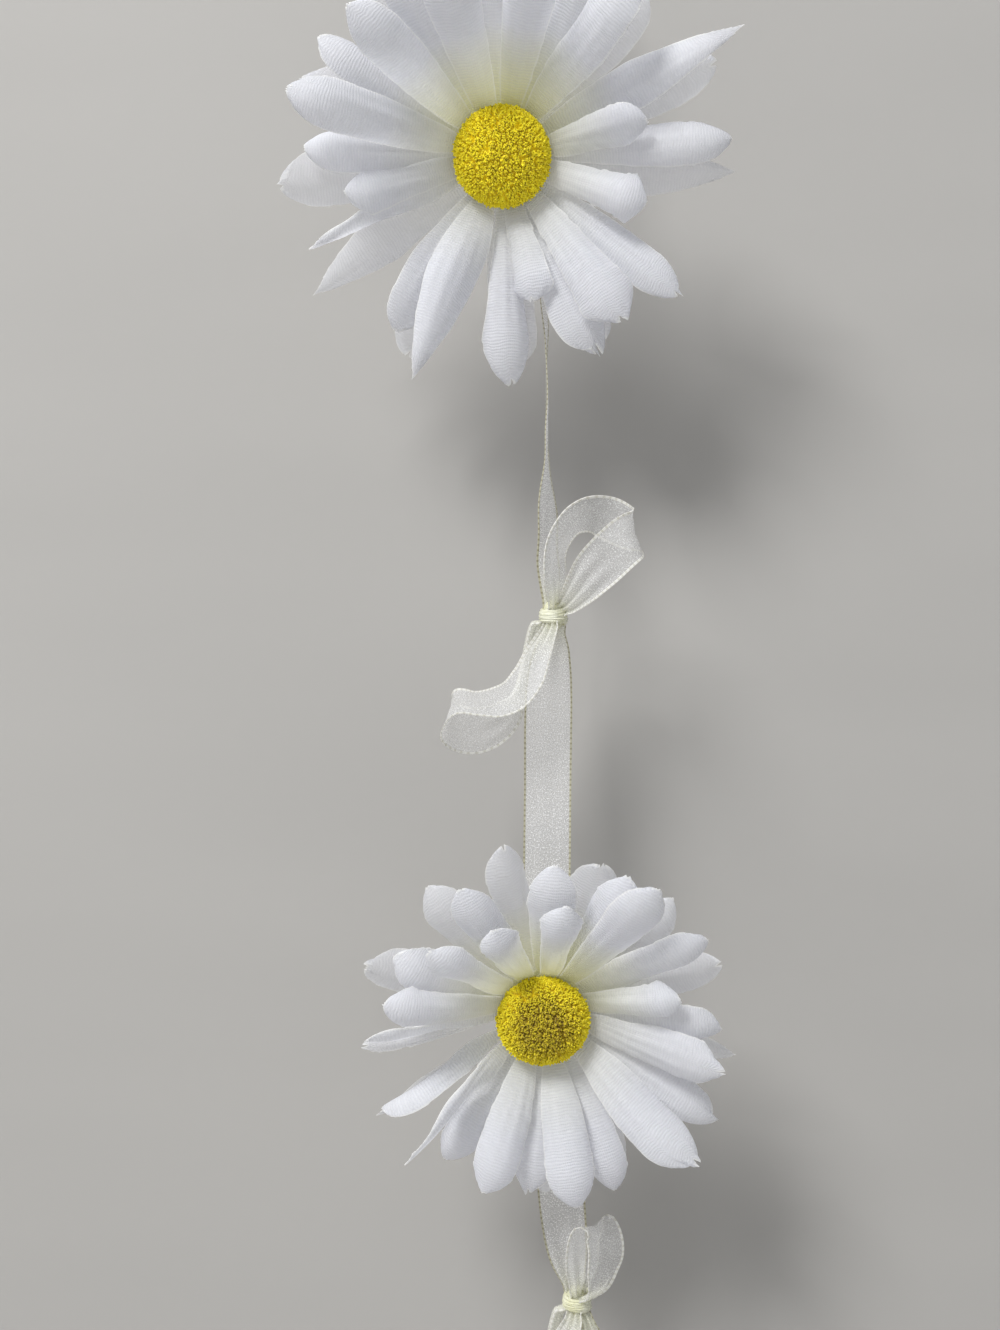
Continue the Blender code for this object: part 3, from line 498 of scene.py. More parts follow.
def petal_sheet(petal, height, bounds, draw):
    """Middle surface of one petal and its sector of the disc: points, normals, cloth coordinates, edge distance.

    Rows run from the hole to the rim on the flat disc, between the two bounds in degrees, and then out along a
    spine that slopes forwards by the lift plus the arch, flattens evenly to the lift minus the arch and curls back
    at its tip. Columns run across from edge to edge.
    """
    v = np.sin(np.linspace(-1, 1, PETAL_COLUMNS) * COLUMN_CROWDING) / math.sin(COLUMN_CROWDING)
    u = 1 - (1 - np.linspace(0, 1, PETAL_ROWS)) ** ROW_CROWDING
    turn, sweep = math.radians(petal["turn"]), math.radians(petal["sweep"])
    lift, arch, roll = (math.radians(petal[k]) for k in ("lift", "arch", "roll"))
    curl = math.radians(draw.uniform(*CURL_RANGE[petal["tip"]])) * eased(u, *CURLS_OVER)
    slope = lift + arch * (1 - 2 * u) - curl
    heading = turn + sweep * u
    along = heading_out(slope, heading)
    step = np.diff(u)[:, None] * petal["length"]
    start = np.array([[RIM_RADIUS * math.sin(turn), RIM_RADIUS * math.cos(turn), height]])
    spine = np.concatenate([start, start + np.cumsum((along[1:] + along[:-1]) / 2 * step, axis=0)])
    side = np.stack([np.cos(heading), -np.sin(heading), np.zeros_like(u)], 1)
    front = np.cross(side, along)
    usual = (draw.uniform(-MOST_TWIST, MOST_TWIST), 1.0, petal["camber"])
    twist, share, petal["camber"] = SET_APART.get(petal["turn"], usual)
    turned = (roll * u + math.radians(twist) * eased(u, *TWISTS_OVER))[:, None]
    across = side * np.cos(turned) + front * np.sin(turned)
    front = front * np.cos(turned) - side * np.sin(turned)
    reach = np.hypot(spine[:, 0], spine[:, 1])
    half = petal["width"] * share / 2 * width_at(u, petal["tip"])
    half = np.minimum(half, reach * math.tan(math.radians(petal["room"])))
    fray = np.repeat(draw.normal(0, SIDE_FRAY, (PETAL_ROWS + 1) // 2), 2)[:PETAL_ROWS] * eased(u, 0.1, 0.3)
    lateral, stand_off = pressed(u, v, half, petal, draw)
    lateral = lateral + np.sign(v) * np.abs(v) ** 12 * fray[:, None]
    ends = (tip_offset(petal["tip"], v, draw) + draw.normal(0, END_FRAY, len(v))) * petal["length"]
    ends = ends * (u**7)[:, None]
    points = spine[:, None] + across[:, None] * lateral[..., None] + front[:, None] * stand_off[..., None]
    points += along[:, None] * ends[..., None]
    left, right = (math.radians(bound) for bound in bounds)
    fan = left + (right - left) * (v + 1) / 2
    radii = np.linspace(HOLE_RADIUS, RIM_RADIUS, DISC_ROWS)[:, None]
    disc = np.stack([radii * np.sin(fan), radii * np.cos(fan), np.full((DISC_ROWS, len(v)), height)], -1)
    points = np.concatenate([disc, points[1:]])
    normals = unit(np.cross(np.gradient(points, axis=1), np.gradient(points, axis=0)))
    normals[:DISC_ROWS] = (0.0, 0.0, 1.0)
    out = np.concatenate([radii - RIM_RADIUS, (u[1:] * petal["length"])[:, None]]) + 0 * v
    wide = np.concatenate([radii * (fan - turn), (half[:, None] * v)[1:]])
    from_edge = np.minimum(half[:, None] * (1 - np.abs(v)), ((1 - u) * petal["length"])[:, None] + 0 * v)
    from_edge = np.concatenate([np.full(disc.shape[:2], FAR_FROM_EDGE), from_edge[1:]])
    return points, normals, np.stack([wide, out], -1) * MM, from_edge


def petal_layer(name, petals, height, at, thickness, finish, seed):
    """One die-cut layer as a thin closed shell: every petal's front and back grids, joined round their edges.

    Neighbouring sectors share their edge out to the rim, so the layer is one piece with a hole in its middle.
    Each point carries the strength of the tint beside the centre: it goes from its least share to 1 with the cosine
    of the turn where that is above zero, and what it gains towards the top petals is painted light shining through
    them.
    """
    draw = np.random.default_rng(seed)
    petals = sorted(petals, key=lambda petal: petal["turn"])
    turns = np.array([petal["turn"] for petal in petals], float)
    middles = (turns + np.append(turns[1:], turns[0] + 360)) / 2
    before = np.append(middles[-1] - 360, middles[:-1])
    shape = (2, DISC_ROWS + PETAL_ROWS - 1, PETAL_COLUMNS)
    points, uvs, values = [], [], []
    for k, petal in enumerate(petals):
        surface, normals, uv, edge = petal_sheet(petal, height, (before[k], middles[k]), draw)
        apart = normals * thickness / 2
        points.append([surface + apart, surface - apart])
        uvs.append([uv + (CLOTH_APART * k, 0.0)] * 2)
        # Tint strength: its least share everywhere, and more towards the top as painted light shining through the
        # petals
        glow = LEAST_TINT + (1 - LEAST_TINT) * max(math.cos(math.radians(petal["turn"])), 0.0)
        values.append([value + np.zeros(shape) for value in (edge, draw.uniform(0, 1, 2)[:, None, None], glow)])
    index = np.arange(len(petals) * math.prod(shape)).reshape(-1, *shape)
    index[:, :, :DISC_ROWS, -1] = np.roll(index, -1, axis=0)[:, :, :DISC_ROWS, 0]
    faces = []
    rim = DISC_ROWS - 1
    for front, back in index:
        faces += [grid_faces(front), grid_faces(back)[:, ::-1]]
        faces.append(grid_faces(np.stack([back[rim:, 0], front[rim:, 0]], 1)))
        faces.append(grid_faces(np.stack([front[rim:, -1], back[rim:, -1]], 1)))
        faces.append(grid_faces(np.stack([front[-1], back[-1]])))
        faces.append(grid_faces(np.stack([back[0], front[0]])))
    values = dict(zip(("edge", "shade", "glow"), np.stack(values, 1).reshape(3, -1)))
    points = in_bloom(at, np.array(points).reshape(-1, 3))
    return piece(name, points, [np.concatenate(faces)], finish, np.array(uvs).reshape(-1, 2), values)


def lathe(profile, segments, closed=False):
    """A profile of (radius, height) turned about z: a closed one makes a ring, an open one ends in two poles."""
    profile = np.asarray(profile, float)
    around = np.arange(segments) * 2 * math.pi / segments
    rings = profile if closed else profile[1:-1]
    radius, height = rings[:, :1], rings[:, 1:]
    points = np.stack([radius * np.sin(around), radius * np.cos(around), height + 0 * around], -1).reshape(-1, 3)
    index = np.arange(len(points)).reshape(len(rings), segments)
    faces = [grid_faces(index, closed_rows=closed, closed_columns=True)]
    if not closed:
        first, last = index[0], index[-1]
        poles = np.full(segments, len(points))
        upper = np.stack([poles, np.roll(first, -1), first], 1)
        lower = np.stack([poles + 1, last, np.roll(last, -1)], 1)
        faces.append(np.concatenate([upper, lower]))
        points = np.concatenate([points, [(0.0, 0.0, profile[0, 1]), (0.0, 0.0, profile[-1, 1])]])
    return points, faces


def resampled(outline, spacing):
    """Points at an even spacing along an outline of corners, keeping its ends."""
    outline = np.asarray(outline, float)
    reach = np.concatenate([[0.0], np.cumsum(np.linalg.norm(np.diff(outline, axis=0), axis=1))])
    stations = np.linspace(0.0, reach[-1], max(int(reach[-1] / spacing), 1) + 1)
    return np.stack([np.interp(stations, reach, column) for column in outline.T], 1)


def dome_profile(size, inset):
    """The dome from its top to its widest: height falls as a power of the cosine, and then a rounded side."""
    radius = CENTRE_RADIUS * size - inset
    rim = CENTRE_BASE + CENTRE_SIDE
    around = np.linspace(0.0, math.pi / 2, 40)
    dome = (CENTRE_HEIGHT - CENTRE_SIDE - inset) * np.cos(around).clip(0) ** DOME_POWER
    top = np.stack([radius * np.sin(around), rim + dome], 1)
    under = np.linspace(0.0, math.pi / 2, 8)[1:]
    side = np.stack([radius * (0.86 + 0.14 * np.cos(under)), rim - CENTRE_SIDE * np.sin(under)], 1)
    return np.concatenate([top, side])


def tuft_grid(size, inset, count, draw):
    """Places evenly over the dome by area, along a spiral of golden angles, with the surface's normals there."""
    outline = resampled(dome_profile(size, inset), 0.1)
    outline = outline[: int(len(outline) * 0.985)]
    ring = np.concatenate([[0.0], np.cumsum((outline[1:, 0] + outline[:-1, 0]) / 2)])
    share = (np.arange(count) + draw.uniform(0.1, 0.9, count)) / count * ring[-1]
    radius, height = (np.interp(share, ring, column) for column in outline.T)
    slope = np.gradient(outline, axis=0)
    out, up = (np.interp(share, ring, column) for column in (-slope[:, 1], slope[:, 0]))
    around = np.arange(count) * math.pi * (3 - math.sqrt(5)) + draw.normal(0, 0.02, count)
    base = np.stack([radius * np.sin(around), radius * np.cos(around), height], 1)
    normals = unit(np.stack([out * np.sin(around), out * np.cos(around), up], 1))
    return base, normals, radius / (CENTRE_RADIUS * size)


def flocked_centre(name, at, count, length, finish, node, seed):
    """A dome on its post, covered with short tufts: three-sided tapered prisms that stand out of the dome.

    Each leans towards the middle of the clump that it is nearest to, and is shaded partly with its clump.

    tip is 0 on the dome and 1 at a tuft's end, shade is drawn for each tuft, and heart is the share of the radius.
    """
    draw = np.random.default_rng(seed)
    size = at["size"]
    profile = np.concatenate([
        dome_profile(size, CORE_INSET),
        resampled([(CENTRE_RADIUS * size * 0.8, CENTRE_BASE), (POST_RADIUS + 0.3, CENTRE_BASE)], 0.5)[1:],
        [(POST_RADIUS, CENTRE_BASE - 0.3), (POST_RADIUS, POST_END + 0.3), (POST_RADIUS - 0.3, POST_END)],
        [(0.0, POST_END)],
    ])
    core, faces = lathe(profile, 72)
    base, normals, heart = tuft_grid(size, TUFT_INSET, count, draw)
    centres = base[draw.choice(count, count // TUFTS_TO_A_CLUMP, replace=False)]
    clump = np.argmin(np.sum(centres**2, 1) - 2 * base @ centres.T, 1)
    lean = unit(normals + (centres[clump] - base) * CLUMP_LEAN + draw.normal(0, TUFT_SPREAD, (count, 3)))
    shade = CLUMP_SHADE * draw.uniform(0, 1, len(centres))[clump] + (1 - CLUMP_SHADE) * draw.uniform(0, 1, count)
    side = unit(np.cross(lean, draw.normal(0, 1, (count, 3))))
    other = np.cross(lean, side)
    angle = np.arange(3) * 2 * math.pi / 3
    ring = np.cos(angle)[:, None] * side[:, None, :] + np.sin(angle)[:, None] * other[:, None, :]
    long = length * draw.uniform(*TUFT_LENGTHS, count)
    long *= np.where(draw.uniform(0, 1, count) < LONG_TUFTS, LONGER, 1.0)
    wide = draw.uniform(*TUFT_WIDTHS, count)[:, None, None]
    top = base + lean * long[:, None]
    tufts = np.concatenate([base[:, None] + ring * wide, top[:, None] + ring * wide * TUFT_TAPER], 1)
    first = 6 * np.arange(count)[:, None] + len(core)
    quads = np.concatenate([first + np.array([k, (k + 1) % 3, 3 + (k + 1) % 3, 3 + k]) for k in range(3)])
    ends = np.concatenate([first + np.array([2, 1, 0]), first + np.array([3, 4, 5])])
    faces = [np.concatenate([faces[0], quads]), np.concatenate([faces[1], ends])]
    core_heart = np.hypot(core[:, 0], core[:, 1]) / (CENTRE_RADIUS * size)
    values = dict(
        tip=np.concatenate([np.zeros(len(core)), np.tile([0.0, 0, 0, 1, 1, 1], count)]),
        shade=np.concatenate([np.full(len(core), 0.5), np.repeat(shade, 6)]),
        heart=np.concatenate([core_heart, np.repeat(heart, 6)]),
    )
    points = in_bloom(at, np.concatenate([core, tufts.reshape(-1, 3)]))
    stands_for(piece(name, points, faces, finish, values=values, sharp=40), node)


def rounded(inner, outer, low, high, fillet):
    """Corners of a rectangle of radius and height with each corner a quarter circle."""
    quarter = np.linspace(0.0, math.pi / 2, 6)
    outline = []
    for turn, radius, height in ((0, outer, high), (1, inner, high), (2, inner, low), (3, outer, low)):
        away = quarter + turn * math.pi / 2
        across = radius - fillet if radius == outer else radius + fillet
        up = height - fillet if height == high else height + fillet
        outline.append(np.stack([across + fillet * np.cos(away), up + fillet * np.sin(away)], 1))
    return np.concatenate(outline)


def collar(name, at, finish, node):
    """The ring pushed onto the post: a rounded rectangle turned about the axis."""
    back = COLLAR_FRONT - COLLAR_THICKNESS
    points, faces = lathe(rounded(HOLE_RADIUS, COLLAR_RADIUS, back, COLLAR_FRONT, 0.35), 64, closed=True)
    stands_for(piece(name, in_bloom(at, points), faces, finish), node)


def felt_pad(name, at, finish, node, seed):
    """The felt disc behind the collar: a rounded disc whose rim is uneven, pushed in and out a little round it."""
    draw = np.random.default_rng(seed)
    back = PAD_FRONT - PAD_THICKNESS
    half = rounded(0.0, PAD_RADIUS, back, PAD_FRONT, 0.4)
    half = half[half[:, 0] > PAD_RADIUS / 2]
    upper = resampled([(0.0, PAD_FRONT), (PAD_RADIUS - 0.4, PAD_FRONT)], 0.5)[:-1]
    lower = resampled([(PAD_RADIUS - 0.4, back), (0.0, back)], 0.5)[1:]
    rim = half[np.argsort(-half[:, 1])]
    points, faces = lathe(np.concatenate([upper, rim, lower]), 96)
    around = np.arctan2(points[:, 0], points[:, 1])
    radius = np.hypot(points[:, 0], points[:, 1])
    wave = sum(np.sin(k * around + draw.uniform(0, 6)) for k in (5, 9, 14)) / 3
    points[:, :2] *= (1 + 0.012 * wave * (radius / PAD_RADIUS) ** 3)[:, None]
    stands_for(piece(name, in_bloom(at, points), faces, finish), node)


def behind(at, side, down):
    """A point of the ribbon on a bloom's pad, side to the right of the pad's centre and down along it."""
    tilt = math.radians(at["tilt"])
    x, y, z = at["place"]
    y += math.sin(tilt) * down - math.cos(tilt) * RIBBON_BEHIND
    z -= math.cos(tilt) * down + math.sin(tilt) * RIBBON_BEHIND
    return (x + side, y, z)


def smooth(values, count):
    """Catmull-Rom curve through the rows of values, with count steps to a span."""
    values = np.asarray(values, float)
    padded = np.concatenate([2 * values[:1] - values[1:2], values, 2 * values[-1:] - values[-2:-1]])
    t = (np.arange(count) / count)[:, None]
    spans = []
    for a, b, c, d in zip(padded[:-3], padded[1:-2], padded[2:-1], padded[3:]):
        square, cube = 2 * a - 5 * b + 4 * c - d, 3 * b - a - 3 * c + d
        spans.append(b + 0.5 * ((c - a) * t + square * t**2 + cube * t**3))
    return np.concatenate([*spans, values[-1:]])


def stations(route, ends):
    """The route at even steps: a Catmull-Rom curve through it, run on into the knot at each end that has one."""
    rows = [(*place, *unit(way), share) for place, way, share in route]
    dense = smooth(rows, 40)
    for end, reach in zip((0, -1), ends):
        beside = 1 if end == 0 else -2
        into = dense[end].copy()
        into[:3] += unit(dense[end, :3] - dense[beside, :3]) * reach
        dense = np.concatenate([[into], dense] if end == 0 else [dense, [into]])
    reach = np.concatenate([[0.0], np.cumsum(np.linalg.norm(np.diff(dense[:, :3], axis=0), axis=1))])
    steps = np.linspace(0.0, reach[-1], int(reach[-1] / RIBBON_STEP) + 1)
    return steps, np.stack([np.interp(steps, reach, column) for column in dense.T], 1)


def ribbon(name, route, cloth, finish, seed, held="hung", ends=(1.6, 1.6), cut=False):
    """A sheer band with thicker selvedges along a route, as one closed shell.

    Across the band the points keep their cloth length: where the share of the width is less than one, they rise
    and fall in pleats of height a times the half width over their number times pi, with a twice the root of one
    over the share less one. Slow waves run along it. A cut end is trimmed to a swallow's tail.
    """
    draw = np.random.default_rng(seed)
    steps, rows = stations(route, ends)
    centre, way, share = rows[:, :3], rows[:, 3:6], rows[:, 6]
    along = unit(np.gradient(centre, axis=0))
    across = unit(way - along * np.sum(way * along, axis=1, keepdims=True))
    face = np.cross(along, across)
    s = np.concatenate([[-1.0, -0.955], np.linspace(-0.91, 0.91, 31), [0.955, 1.0]])
    selvedge = np.abs(s) > SELVEDGE_FROM
    half = (share * RIBBON_WIDTH / 2)[:, None]
    pleats = draw.uniform(*PLEATS)
    steep = 2 * np.sqrt(1 / np.minimum(share, 0.999) - 1)[:, None]
    phase = draw.uniform(0, 6) + 0.04 * steps[:, None]
    rise = steep * half / (pleats * math.pi) * np.sin(pleats * math.pi * s + phase)
    flat = eased(share, 0.75, 1.0)[:, None]
    for _ in range(3):
        wave = np.sin(steps[:, None] * draw.uniform(0.12, 0.5) + draw.uniform(-2.5, 2.5) * s + draw.uniform(0, 6))
        rise = rise + draw.uniform(*SLOW_WAVES) * flat * wave
    rise = rise + draw.uniform(-MOST_CUPPING, MOST_CUPPING) * flat * (s**2 - 0.3)
    points = centre[:, None] + across[:, None] * (half * s)[..., None] + face[:, None] * rise[..., None]
    if cut:
        trim = SWALLOW_TAIL * (1 - np.abs(s)) * eased(steps, steps[-1] - 9, steps[-1])[:, None]
        points -= along[:, None] * trim[..., None]
    normals = unit(np.cross(np.gradient(points, axis=1), np.gradient(points, axis=0)))
    thick = np.where(selvedge, cloth.thickness * SELVEDGE_THICKER, cloth.thickness) / MM / 2
    shell = np.concatenate([points + normals * thick[:, None], (points - normals * thick[:, None])[:, ::-1]], 1)
    count = 2 * len(s)
    index = np.arange(len(steps) * count).reshape(-1, count)
    faces = [grid_faces(index, closed_columns=True)]
    fold = len(s)
    for row, order in ((index[0], 1), (index[-1], -1)):
        cap = np.stack([row[: fold - 1], row[1:fold], row[::-1][1:fold], row[::-1][: fold - 1]], 1)
        faces.append(cap[:, ::-order])
    wide = np.concatenate([s, s[::-1]]) * RIBBON_WIDTH / 2 + 0 * steps[:, None]
    uv = np.stack([wide, steps[:, None] + 0 * wide], -1).reshape(-1, 2) * MM
    bunch = np.repeat(np.clip((0.9 - share) / 0.6, 0, 1), count)
    obj = piece(name, shell.reshape(-1, 3), [np.concatenate(faces)], finish, uv, dict(bunch=bunch))
    stands_for(obj, name)


def out_of(knot, way):
    """Where a ribbon meets a knot: on the knot's surface that way, and the gap beyond it."""
    way = unit(way)
    reach = 1 / np.linalg.norm(way / np.array(KNOT_RADII))
    return tuple(np.array(knot) + way * (reach + KNOT_GAP))


def exits(way):
    """The first two points of a ribbon that leaves a knot at the origin that way, straight out of it."""
    start = np.array(out_of((0, 0, 0), way))
    return [start, start + unit(way) * STRAIGHT_OUT]


def offset(knot_place, rows):
    """Route rows given from a knot's centre."""
    return [(tuple(np.array(knot_place) + np.array(place)), way, share) for place, way, share in rows]


def on_pad(at, line):
    return [(behind(at, side, down), ACROSS, 1.0) for side, down in line]


def bow_loop(name, knot_place, rows, both_exits, cloth, finish, seed):
    """A loop of a bow, from its knot out along its rows and back, gathered where it is tied."""
    leaves, comes_back = both_exits
    first_way, last_way = rows[0][1], rows[-1][1]
    route = [(start, first_way, share) for start, share in zip(exits(leaves), OPENING)]
    route += [*rows, *((end, last_way, share) for end, share in reversed([*zip(exits(comes_back), OPENING)]))]
    ribbon(name, offset(knot_place, route), cloth, finish, seed, held="gathered")


def tail(name, way, lean, cloth, finish, seed):
    """A cut end that hangs from the bottom knot and leans to one side."""
    start, straight = exits(way)
    depth = straight[1] * 1.3
    rows = [(start, ACROSS, GATHERED), (straight, ACROSS, GATHERED)]
    rows.append(((lean * 0.55, depth, -TAIL_LENGTH * 0.34), (1.0, 0.1, 0.0), 0.8))
    rows.append(((lean * 0.75, depth, -TAIL_LENGTH * 0.63), (1.0, 0.3, 0.0), 1.0))
    rows.append(((lean, depth - 0.4, -TAIL_LENGTH), (1.0, 0.2, 0.0), 1.0))
    ribbon(name, offset(BOTTOM_KNOT, rows), cloth, finish, seed, ends=(1.6, 0.0), cut=True)


def knot(name, place, finish, seed):
    """A tied lump: an ellipsoid with slanted pleats, and two flattened rings wrapped round it on slanted planes.

    A ring's section is an ellipse whose outer half is ribbed, so that it reads as gathered ribbon.
    """
    draw = np.random.default_rng(seed)
    wide, deep, high = KNOT_RADII
    polar = np.linspace(0.0, math.pi, KNOT_ROWS)
    core, faces = lathe(np.stack([np.sin(polar), np.cos(polar)], 1), KNOT_COLUMNS)
    around, down = np.arctan2(core[:, 1], core[:, 0]), np.arccos(core[:, 2].clip(-1, 1))
    core[:, :2] *= (1 + 0.06 * np.cos(9 * around + 2.2 * down) + 0.03 * np.cos(17 * around - down * 3))[:, None]
    points = [core * (wide * CORE_SHARE, deep * CORE_SHARE, high)]
    along = (np.arange(WRAP_STEPS) * 2 * math.pi / WRAP_STEPS)[:, None]
    section = np.arange(SECTION_STEPS) * 2 * math.pi / SECTION_STEPS
    for slant, rise, half in ((draw.uniform(0.5, 0.9), 0.55, 1.25), (-draw.uniform(0.3, 0.7), -0.75, 1.15)):
        outer = np.clip(np.sin(section), 0, 1)
        thick = 0.55 * np.sin(section) + 0.13 * outer * np.cos(11 * section + 1.5 * np.sin(along))
        height = half * np.cos(section) * (1 + 0.12 * np.sin(2 * along + rise))
        height = height + slant * np.sin(along + 0.6) + rise
        reach = 0.9 + thick / wide - 0.06 * (height / high) ** 2
        grid = np.arange(height.size).reshape(height.shape) + sum(map(len, points))
        ring = np.stack([reach * np.cos(along) * wide, reach * np.sin(along) * deep, height], -1)
        points.append(ring.reshape(-1, 3))
        faces[0] = np.concatenate([faces[0], grid_faces(grid, closed_rows=True, closed_columns=True)])
    stands_for(piece(name, np.concatenate(points) + np.array(place), faces, finish), name)


class Shading:
    """A shader tree that grows by calls, most of which give the output socket of the node that they add."""

    def __init__(self, tree):
        self.tree = tree

    def feed(self, socket, value):
        """Links an output, or sets a number, a colour or a vector."""
        if isinstance(value, bpy.types.NodeSocket):
            self.tree.links.new(value, socket)
        else:
            socket.default_value = (*value, 1.0) if socket.type == "RGBA" else value

    def node(self, kind, inputs=(), **settings):
        """A node with its settings, and its inputs by name or number."""
        new = self.tree.nodes.new(kind)
        for key, value in settings.items():
            setattr(new, key, value)
        for key, value in dict(inputs).items():
            self.feed(new.inputs[key], value)
        return new

    def cloth(self):
        return self.node("ShaderNodeUVMap", uv_map="cloth").outputs[0]

    def place(self):
        return self.node("ShaderNodeTexCoord").outputs["Object"]

    def value(self, name):
        return self.node("ShaderNodeAttribute", attribute_name=name).outputs["Fac"]

    def parts_of(self, vector):
        return self.node("ShaderNodeSeparateXYZ", {0: vector}).outputs

    def maths(self, operation, *values):
        return self.node("ShaderNodeMath", enumerate(values), operation=operation).outputs[0]

    def times(self, first, second):
        return self.maths("MULTIPLY", first, second)

    def times_plus(self, first, second, third):
        return self.maths("MULTIPLY_ADD", first, second, third)

    def ranged(self, value, low, high, to_low=0.0, to_high=1.0):
        inputs = {"Value": value, "From Min": low, "From Max": high, "To Min": to_low, "To Max": to_high}
        return self.node("ShaderNodeMapRange", inputs).outputs[0]

    def noise(self, vector, scale, detail, roughness=0.5):
        inputs = {"Vector": vector, "Scale": scale, "Detail": detail, "Roughness": roughness}
        return self.node("ShaderNodeTexNoise", inputs).outputs[0]

    def layered(self, colour, *layers):
        """Colours laid one by one over the first, each by its factor."""
        for factor, over in layers:
            colour = self.node("ShaderNodeMix", {0: factor, 6: colour, 7: over}, data_type="RGBA").outputs[2]
        return colour

    def blended(self, share, first, second):
        return self.node("ShaderNodeMixShader", {0: share, 1: first, 2: second}).outputs[0]

    def grouped(self, name, vector, **values):
        """The outputs of one of the node groups, which is made when it is first wanted."""
        new = self.node("ShaderNodeGroup", {}, node_tree=node_group(name))
        self.feed(new.inputs["Vector"], vector)
        for key, value in values.items():
            self.feed(new.inputs[key.replace("_", " ")], value)
        return new.outputs


def woven_threads(nodes, given):
    """Ribs across the cloth and threads along it, each a sine of its cloth coordinate that noise pushes about."""
    place = nodes.parts_of(given["Vector"])
    drift = nodes.times(nodes.noise(given["Vector"], 420.0, 1.0), given["Drift"])
    waves = []
    for axis, pitch, push in (("Y", "Rib pitch", 2.4), ("X", "Thread pitch", 1.6)):
        turns = nodes.maths("DIVIDE", place[axis], given[pitch])
        angle = nodes.times_plus(turns, 2 * math.pi, nodes.times(drift, push * math.pi))
        waves.append(nodes.times_plus(nodes.maths("SINE", angle), 0.5, 0.5))
    grain = nodes.noise(given["Vector"], 3800.0, 2.0, 0.7)
    return nodes.times_plus(waves[1], 0.35, waves[0]), waves[0], grain


def mottle(nodes, given):
    """Slow blotches, and finer flecks, from 0 to 1."""
    slow = nodes.noise(given["Vector"], given["Scale"], 1.0)
    fine = nodes.noise(given["Vector"], nodes.times(given["Scale"], 14.0), 1.0, 0.6)
    return nodes.ranged(slow, 0.32, 0.68), nodes.ranged(fine, 0.35, 0.7)


def selvedge(nodes, given):
    """1 on the woven edges of the ribbon, and the stitches in them, from the distance to the middle line."""
    place = nodes.parts_of(given["Vector"])
    past = nodes.maths("SUBTRACT", nodes.maths("ABSOLUTE", place["X"]), given["Inside"])
    edge = nodes.ranged(past, -SELVEDGE_BLUR, SELVEDGE_BLUR)
    turns = nodes.times(nodes.maths("DIVIDE", place["Y"], given["Stitch"]), 2 * math.pi)
    return edge, nodes.times(nodes.ranged(nodes.maths("SINE", turns), 0.1, 0.75), edge)


# Node groups: their inputs beside a vector, their outputs, and what works the outputs out
GROUPS = {
    "Woven threads": (("Rib pitch", "Thread pitch", "Drift"), ("Height", "Rib", "Grain"), woven_threads),
    "Mottle": (("Scale",), ("Blotch", "Fleck"), mottle),
    "Selvedge": (("Inside", "Stitch"), ("Edge", "Stitches"), selvedge),
}


def node_group(name):
    """The shader node group of that name, made from its row of GROUPS if there is none yet."""
    if name not in bpy.data.node_groups:
        inputs, outputs, worked_out = GROUPS[name]
        tree = bpy.data.node_groups.new(name, "ShaderNodeTree")
        tree.interface.new_socket("Vector", in_out="INPUT", socket_type="NodeSocketVector")
        for keys, side in ((inputs, "INPUT"), (outputs, "OUTPUT")):
            for key in keys:
                tree.interface.new_socket(key, in_out=side, socket_type="NodeSocketFloat")
        nodes = Shading(tree)
        given, made = nodes.node("NodeGroupInput"), nodes.node("NodeGroupOutput")
        for socket, value in zip(made.inputs, worked_out(nodes, given.outputs)):
            nodes.feed(socket, value)
    return bpy.data.node_groups[name]


class Finish(Shading):
    """A new material."""

    def __init__(self, name):
        self.material = bpy.data.materials.new(name)
        self.material.use_nodes = True
        super().__init__(self.material.node_tree)

    def surface(self, colour, roughness, height=None, relief=0.0, sheen=0.0, through=0.0, cover=None):
        """Ends the material in its shader: relief is the bump's depth in metres.

        through is the share of the light that passes through the cloth, and cover the share that the cloth stops
        where one sees past its threads.
        """
        shader, output = self.tree.nodes["Principled BSDF"], self.tree.nodes["Material Output"]
        self.feed(shader.inputs["Base Color"], colour)
        self.feed(shader.inputs["Roughness"], roughness)
        shader.inputs["Sheen Weight"].default_value = sheen
        seen = shader.outputs[0]
        if height is not None:
            bump = self.node("ShaderNodeBump", {"Height": height, "Distance": relief}).outputs[0]
            self.feed(shader.inputs["Normal"], bump)
        if through:
            passed = self.node("ShaderNodeBsdfTranslucent", {"Color": colour, "Normal": bump})
            seen = self.blended(through, seen, passed.outputs[0])
        if cover is not None:
            seen = self.blended(cover, self.node("ShaderNodeBsdfTransparent").outputs[0], seen)
        self.feed(output.inputs["Surface"], seen)
        return self.material


